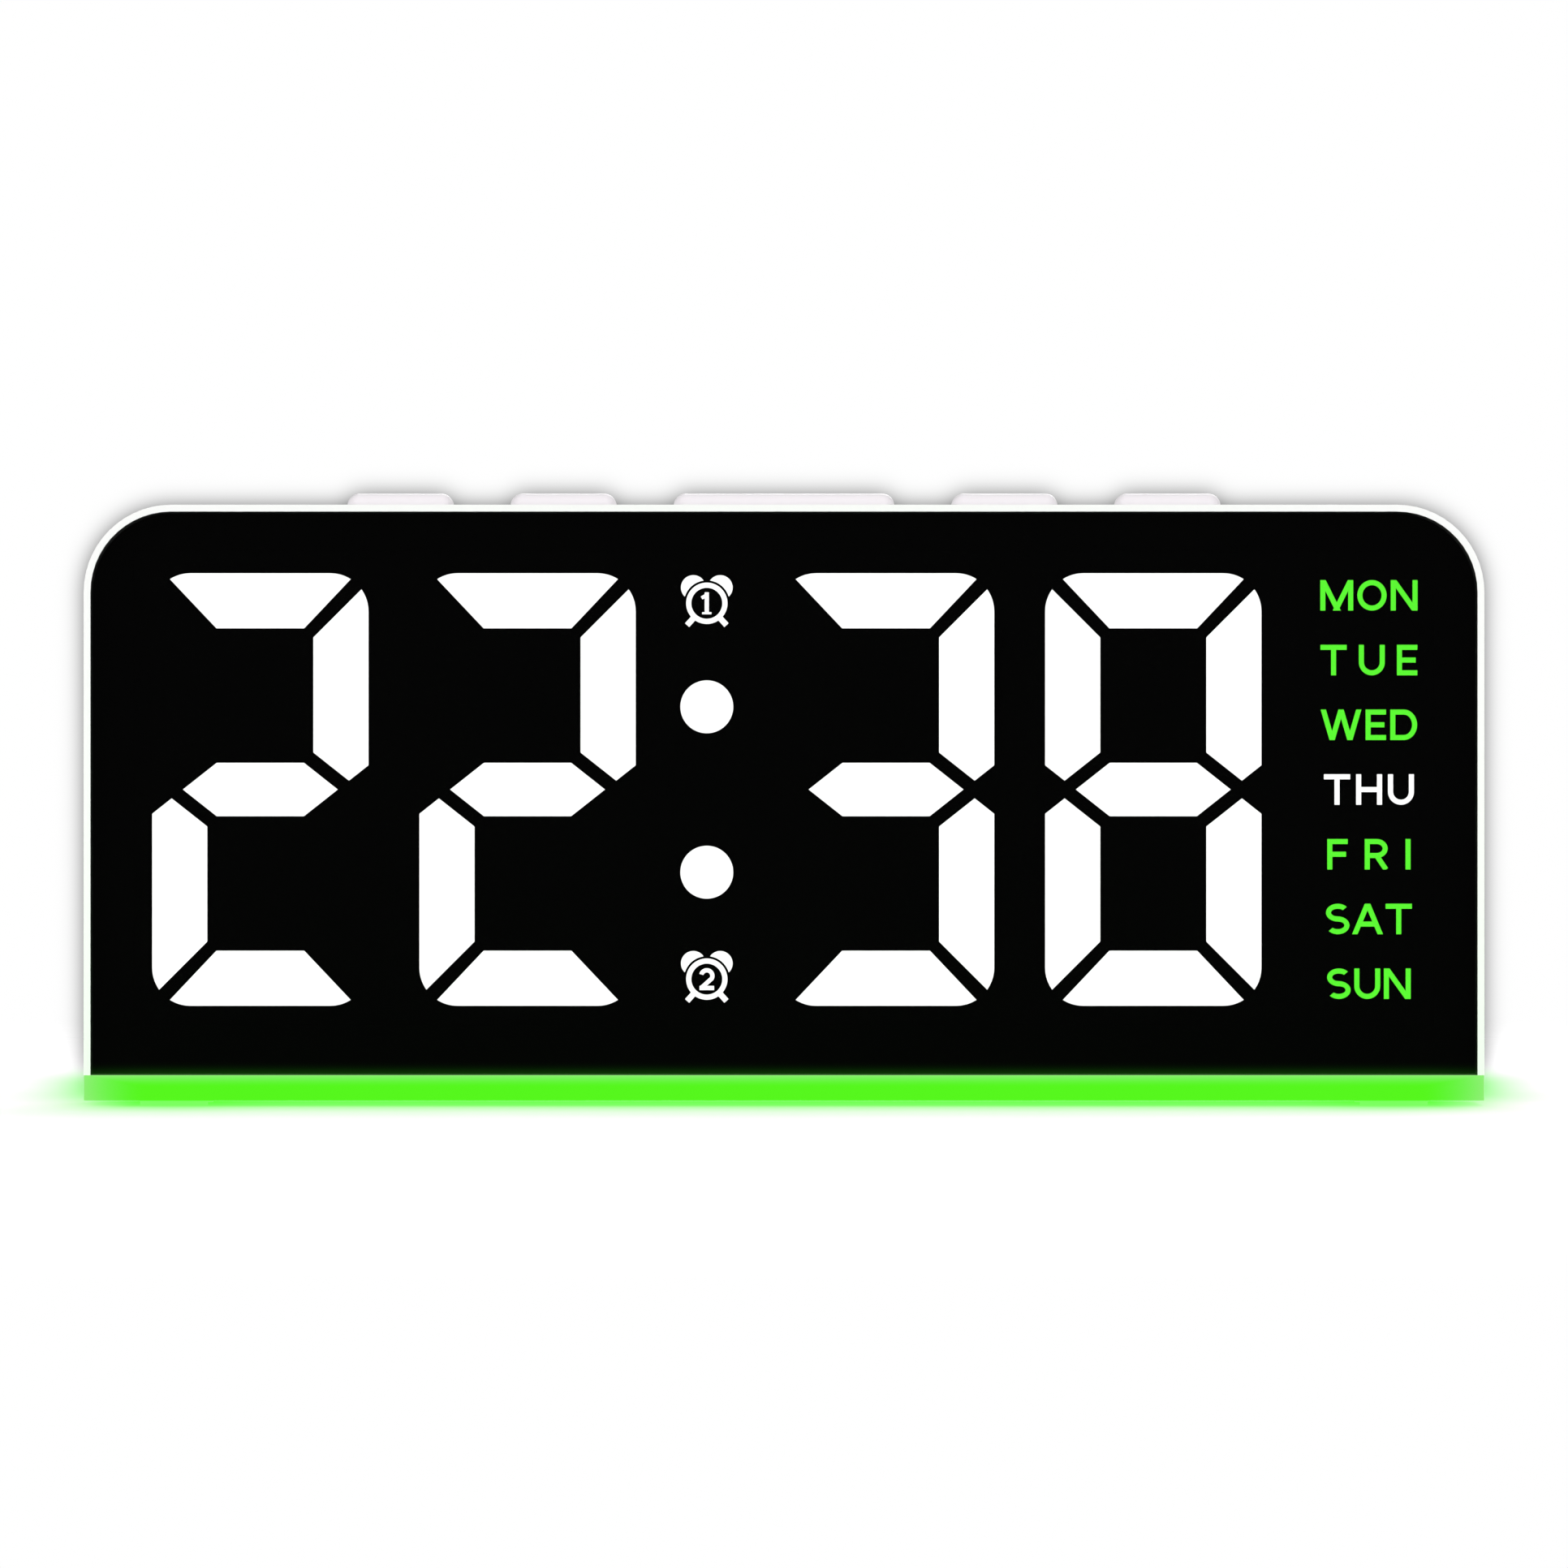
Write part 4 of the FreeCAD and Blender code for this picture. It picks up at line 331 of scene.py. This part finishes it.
# Front lens.
# A sheet of smoked acrylic with polished faces, taped to the flange of the front shell. It turns
# the unlit parts of the display into one black pane and lets the lit ones through. A flat black
# frame is printed on its back.
def smoked_acrylic(tint):
    material, tree, shader = new_material("smoked_acrylic")
    polish = carried_over(tree, noise(tree, 60, place=place_on(tree)), end=(0.035, 0.065))
    tree.links.new(polish, shader.inputs["Roughness"])
    shader.inputs["Base Color"].default_value = (0.002, 0.002, 0.002, 1)
    shader.inputs["Alpha"].default_value = tint
    shader.inputs["IOR"].default_value = 1.49
    return material


def black_print(name):
    return moulded(name, (0.0012, 0.0012, 0.0012), (0.0008, 0.0008, 0.0008), grain=3000,
                   depth=0.000005, roughness=0.8, sheen_of_skin=0.02)


def printed_border(name, inset, lap, sunk, thickness, corner_radius, corner_steps=12):
    """The frame on the back of the lens: from its edge, with round corners above, to a little
    over the mask. Faces join each point of its outline to one of the four corners inside."""
    low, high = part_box("front_lens")
    mask_low, mask_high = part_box("display_mask")
    left, right, foot = low[0] + inset, high[0] - inset, low[2] + inset
    corner_height = high[2] - inset - corner_radius
    outer, joined_to = [], []
    for corner, side in enumerate((1, -1)):
        for step in range(corner_steps + 1):
            angle = math.radians(90 * corner + 90 * step / corner_steps)
            outer.append((side * (right - corner_radius) + corner_radius * math.cos(angle),
                          corner_height + corner_radius * math.sin(angle)))
            joined_to.append(corner)
    outer += [(left, foot), (right, foot)]
    joined_to += [2, 3]
    inner = [(mask_high[0] - lap, mask_high[2] - lap), (mask_low[0] + lap, mask_high[2] - lap),
             (mask_low[0] + lap, mask_low[2] + lap), (mask_high[0] - lap, mask_low[2] + lap)]
    back = high[1] - sunk
    points = [(x, y, z) for y in (back - thickness, back) for x, z in outer + inner]
    to_back = len(outer + inner)
    faces = []
    for here in range(len(outer)):
        there = (here + 1) % len(outer)
        inner_here, inner_there = (len(outer) + joined_to[point] for point in (here, there))
        front_face = [here, there, inner_there]
        if inner_here != inner_there:
            front_face.append(inner_here)
            faces.append((inner_here, inner_there, inner_there + to_back, inner_here + to_back))
        faces.append(front_face)
        faces.append([point + to_back for point in reversed(front_face)])
        faces.append((here, here + to_back, there + to_back, there))
    mesh = bpy.data.meshes.new(name)
    mesh.from_pydata(points, [], faces)
    mesh.materials.append(black_print("black_ink"))
    border = bpy.data.objects.new(name, mesh)
    bpy.context.scene.collection.objects.link(border)
    return border


lens_tint = 0.45
dress(smoked_acrylic(lens_tint), "front_lens")
border = printed_border("lens_border_print", inset=0.0002, lap=0.0004, sunk=0.00001,
                        thickness=0.00002, corner_radius=0.0094)
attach(border, "case")


# Behind the lens: tape, mask and reflector.
# Black tape holds the lens, a black printed film hides all but the signs, and a white moulded
# block keeps the light of each sign out of the next one.
black_tape = moulded("black_tape", (0.02, 0.02, 0.02), (0.012, 0.012, 0.012), grain=900,
                     depth=0.00005, roughness=0.8)
dress(black_tape, "lens_tape")
dress(black_print("black_film"), "display_mask")
white_reflector = moulded("white_reflector", (0.8, 0.8, 0.79), (0.74, 0.74, 0.73), grain=1500,
                          depth=0.00003, roughness=0.35)
dress(white_reflector, "reflector_block")


# Lit signs.
# Milky resin potted into the reflector, over one or more LEDs each. Time, dots, alarm signs and
# the word of the day are white, the other weekdays are green, and the spare segments are dark.
lens_passes = (1 - lens_tint) ** 2


def lit_resin(name, colour, seen_strength, waver=0.03):
    """Resin that glows with the given strength as seen through the lens, and a little more in soft
    patches where an LED sits behind it."""
    material, tree, shader = new_material(name)
    strength = seen_strength / lens_passes
    patches = noise(tree, 90, 0, place_on(tree))
    power = carried_over(tree, patches, end=(strength * (1 - waver), strength * (1 + waver)))
    tree.links.new(power, shader.inputs["Emission Strength"])
    shader.inputs["Emission Color"].default_value = (*colour, 1)
    shader.inputs["Base Color"].default_value = (*[0.9 * part for part in colour], 1)
    shader.inputs["Roughness"].default_value = 0.5
    return material


dress(lit_resin("white_light", (1, 1, 1), 1.06),
      "digit_hour_tens", "digit_hour_units", "digit_minute_tens", "digit_minute_units", "colon_dots",
      "alarm_one_icon", "alarm_two_icon", "thursday_word")
dress(lit_resin("green_light", (0.102, 0.871, 0.032), 0.98),
      "monday_word", "tuesday_word", "wednesday_word", "friday_word", "saturday_word", "sunday_word")
dark_resin = moulded("dark_resin", (0.0015, 0.0015, 0.0015), (0.001, 0.001, 0.001), grain=1500,
                     depth=0.000005, roughness=0.8, sheen_of_skin=0.02)
dress(dark_resin, "unlit_segments")


# Light base and its feet.
# Milky polycarbonate, lit green from a row of LEDs above its tray. The light fills the whole edge and
# pales at the two ends; the paler line along the top, under the case, is a painted highlight. Four
# silicone discs sit in shallow seats.
def glowing_base(pale_ends, painted_highlight_depth):
    """Green milk that is paler over the given lengths at the ends, with a painted highlight along the
    top.
    """
    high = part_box("light_base")[1]
    material, tree, shader = new_material("glowing_milky_base")
    place = place_on(tree)
    point = coordinates(tree, place)
    end = carried_over(tree, reckon(tree, "ABSOLUTE", point["X"]), (high.x - pale_ends, high.x))
    # Painted highlight: the top edge is made paler over this depth.
    top = carried_over(tree, point["Z"], (high.z - painted_highlight_depth, high.z))
    paler_ends_and_highlight = reckon(tree, "POWER", reckon(tree, "MAXIMUM", end, top), 2)
    milk = blend(tree, (0.083, 0.95, 0.004), (0.096, 0.97, 0.008), noise(tree, 45, place=place))
    tree.links.new(blend(tree, milk, (0.34, 0.87, 0.235), paler_ends_and_highlight), shader.inputs["Emission Color"])
    shader.inputs["Emission Strength"].default_value = 0.9
    shader.inputs["Base Color"].default_value = (0.012, 0.06, 0.006, 1)
    shader.inputs["Roughness"].default_value = 0.4
    shader.inputs["Specular IOR Level"].default_value = 0.2
    return material


dress(glowing_base(pale_ends=0.0075, painted_highlight_depth=0.0014), "light_base")
# Painted light: the feet's green colour and glow stand in for the night light that shines through them.
milky_silicone = moulded("milky_silicone", (0.3, 0.8, 0.24), (0.27, 0.74, 0.21), grain=1200,
                         depth=0.00004, roughness=0.6)
feet_painted_glow = milky_silicone.node_tree.nodes["Principled BSDF"]
feet_painted_glow.inputs["Emission Color"].default_value = (0.25, 0.9, 0.17, 1)
feet_painted_glow.inputs["Emission Strength"].default_value = 0.7
dress(milky_silicone, "rubber_feet")


# Circuit boards.
# Glass fibre board under green solder mask, with copper tracks that show as slightly lighter
# lines. One carries the display, one the keys, one the night light and one the power socket. All
# are held by screws.
def circuit_board():
    material, tree, shader = new_material("green_board")
    tracks = tree.nodes.new("ShaderNodeTexBrick")
    tracks.inputs["Scale"].default_value = 160
    tracks.inputs["Color1"].default_value = (0.02, 0.13, 0.05, 1)
    tracks.inputs["Color2"].default_value = (0.018, 0.11, 0.045, 1)
    tracks.inputs["Mortar"].default_value = (0.05, 0.24, 0.1, 1)
    tracks.inputs["Mortar Size"].default_value = 0.03
    tree.links.new(place_on(tree), tracks.inputs["Vector"])
    tree.links.new(tracks.outputs["Color"], shader.inputs["Base Color"])
    raised(tree, shader, tracks.outputs["Fac"], depth=0.00004)
    shader.inputs["Roughness"].default_value = 0.3
    return material


dress(circuit_board(), "display_board", "key_board", "night_light_board", "power_board")


# Parts on the boards, and the buzzer.
# Black epoxy chips, the header and the switch housings, yellowish LED packages, and capacitors in
# dark blue shrink sleeve, all soldered on. The buzzer sits on the rear cover behind its slots.
black_epoxy = moulded("black_epoxy", (0.02, 0.02, 0.021), (0.013, 0.013, 0.014), grain=2500,
                      depth=0.00004, roughness=0.5)
dress(black_epoxy, "driver_chips", "board_header", "switch_housings", "buzzer")
led_resin = moulded("led_resin", (0.85, 0.83, 0.62), (0.8, 0.78, 0.58), grain=900, depth=0.00001,
                    roughness=0.25)
dress(led_resin, "display_leds", "night_light_leds")
blue_sleeve = moulded("blue_sleeve", (0.02, 0.035, 0.13), (0.015, 0.028, 0.1), grain=700,
                      depth=0.00002, roughness=0.25)
dress(blue_sleeve, "capacitors")


# Bright metal: screws, socket, crystal can, domes, battery contacts.
# Nickel plated steel, turned for the screws and pressed from rolled sheet for the rest, with fine
# lines and small changes of polish.
def nickel_plate():
    material, tree, shader = new_material("nickel_plate")
    drawn_out = tree.nodes.new("ShaderNodeMapping")
    drawn_out.inputs["Scale"].default_value = (200, 200, 4000)
    tree.links.new(place_on(tree), drawn_out.inputs["Vector"])
    lines = noise(tree, 1, place=drawn_out.outputs["Vector"])
    tree.links.new(carried_over(tree, lines, end=(0.2, 0.42)), shader.inputs["Roughness"])
    tones = blend(tree, (0.66, 0.65, 0.62), (0.56, 0.55, 0.53), lines)
    tree.links.new(tones, shader.inputs["Base Color"])
    shader.inputs["Metallic"].default_value = 1
    return material


dress(nickel_plate(), "case_screws", "display_board_screws", "key_board_screws", "base_screws",
      "power_board_screws", "power_socket", "crystal", "switch_domes", "battery_plates",
      "battery_springs")


# Battery cells.
# Three steel cans in a plain printed sleeve, blue with a paler band at both ends. They lie one
# above another in the bay, between contact plates and leaf springs.
def cell_sleeve(band_share):
    low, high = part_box("battery_cells")
    material, tree, shader = new_material("cell_sleeve")
    pale, blue = (0.7, 0.69, 0.66, 1), (0.03, 0.1, 0.3, 1)
    sleeve = tree.nodes.new("ShaderNodeValToRGB")
    sleeve.color_ramp.interpolation = "CONSTANT"
    near, middle = sleeve.color_ramp.elements
    near.position, near.color = 0, pale
    middle.position, middle.color = band_share, blue
    sleeve.color_ramp.elements.new(1 - band_share).color = pale
    along = carried_over(tree, coordinates(tree, place_on(tree))["X"], (low.x, high.x))
    tree.links.new(along, sleeve.inputs["Fac"])
    tree.links.new(sleeve.outputs["Color"], shader.inputs["Base Color"])
    shader.inputs["Roughness"].default_value = 0.28
    shader.inputs["Metallic"].default_value = 0.2
    return material


dress(cell_sleeve(band_share=0.12), "battery_cells")


# The picture.
# The white case stands out from the white around it by a soft grey edge of shade, and the base
# blooms as a bright lamp does in a camera.
glowing = [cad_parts[name] for name in ("light_base", "rubber_feet")]
plain = [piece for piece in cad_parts.values() if piece not in glowing] + [border]
bpy.context.view_layer.use_pass_cryptomatte_object = True
bpy.context.scene.use_nodes = True
picture = bpy.context.scene.node_tree
picture.nodes.clear()
rendered = picture.nodes.new("CompositorNodeRLayers")


def only(pieces):
    """Where the picture shows these pieces: 1 there and 0 elsewhere."""
    mask = picture.nodes.new("CompositorNodeCryptomatteV2")
    mask.matte_id = ",".join(piece.name for piece in pieces)
    return mask.outputs["Matte"]


def spread(mask, across, up):
    """The mask blurred over the given shares of the picture's width."""
    reach = picture.nodes.new("CompositorNodeRelativeToPixel")
    reach.data_type = "VECTOR"
    reach.reference_dimension = "X"
    reach.inputs[0].default_value = (across, up)
    picture.links.new(rendered.outputs["Image"], reach.inputs["Image"])
    blur = picture.nodes.new("CompositorNodeBlur")
    blur.filter_type = "GAUSS"
    picture.links.new(mask, blur.inputs["Image"])
    picture.links.new(reach.outputs[1], blur.inputs["Size"])
    return blur.outputs[0]


def painted_over(below, colour, share):
    mixing = picture.nodes.new("CompositorNodeMixRGB")
    mixing.blend_type = "MIX"
    picture.links.new(share, mixing.inputs[0])
    picture.links.new(below, mixing.inputs[1])
    mixing.inputs[2].default_value = (*colour, 1)
    return mixing.outputs[0]


shade_width = 0.0202
bloom_across, bloom_up = 0.08, 0.0095
bloom_strength = 1.45
kept_off_case = 0.93
kept_off_base = 0.7
speckle_filler = 1.3    # brings a mask that is thin in grains up to the full 1

case_mask, base_mask = only(plain), only(glowing)
clock_mask = reckon(picture, "ADD", case_mask, base_mask, clamp=True)
off_clock = reckon(picture, "SUBTRACT", 1, clock_mask, clamp=True)
shade = reckon(picture, "MULTIPLY", spread(case_mask, shade_width, shade_width), off_clock)
shaded = painted_over(rendered.outputs["Image"], (0, 0, 0), shade)

bloom = reckon(picture, "MULTIPLY", spread(base_mask, bloom_across, bloom_up), bloom_strength, clamp=True)
whole_case = reckon(picture, "MULTIPLY", case_mask, speckle_filler, clamp=True)
off_case = reckon(picture, "MULTIPLY", whole_case, kept_off_case)
off_base = reckon(picture, "MULTIPLY", base_mask, kept_off_base)
free = reckon(picture, "SUBTRACT", 1, reckon(picture, "ADD", off_case, off_base), clamp=True)
bloomed = painted_over(shaded, painted_glow_green, reckon(picture, "MULTIPLY", bloom, free))
result = picture.nodes.new("CompositorNodeComposite")
picture.links.new(bloomed, result.inputs[0])
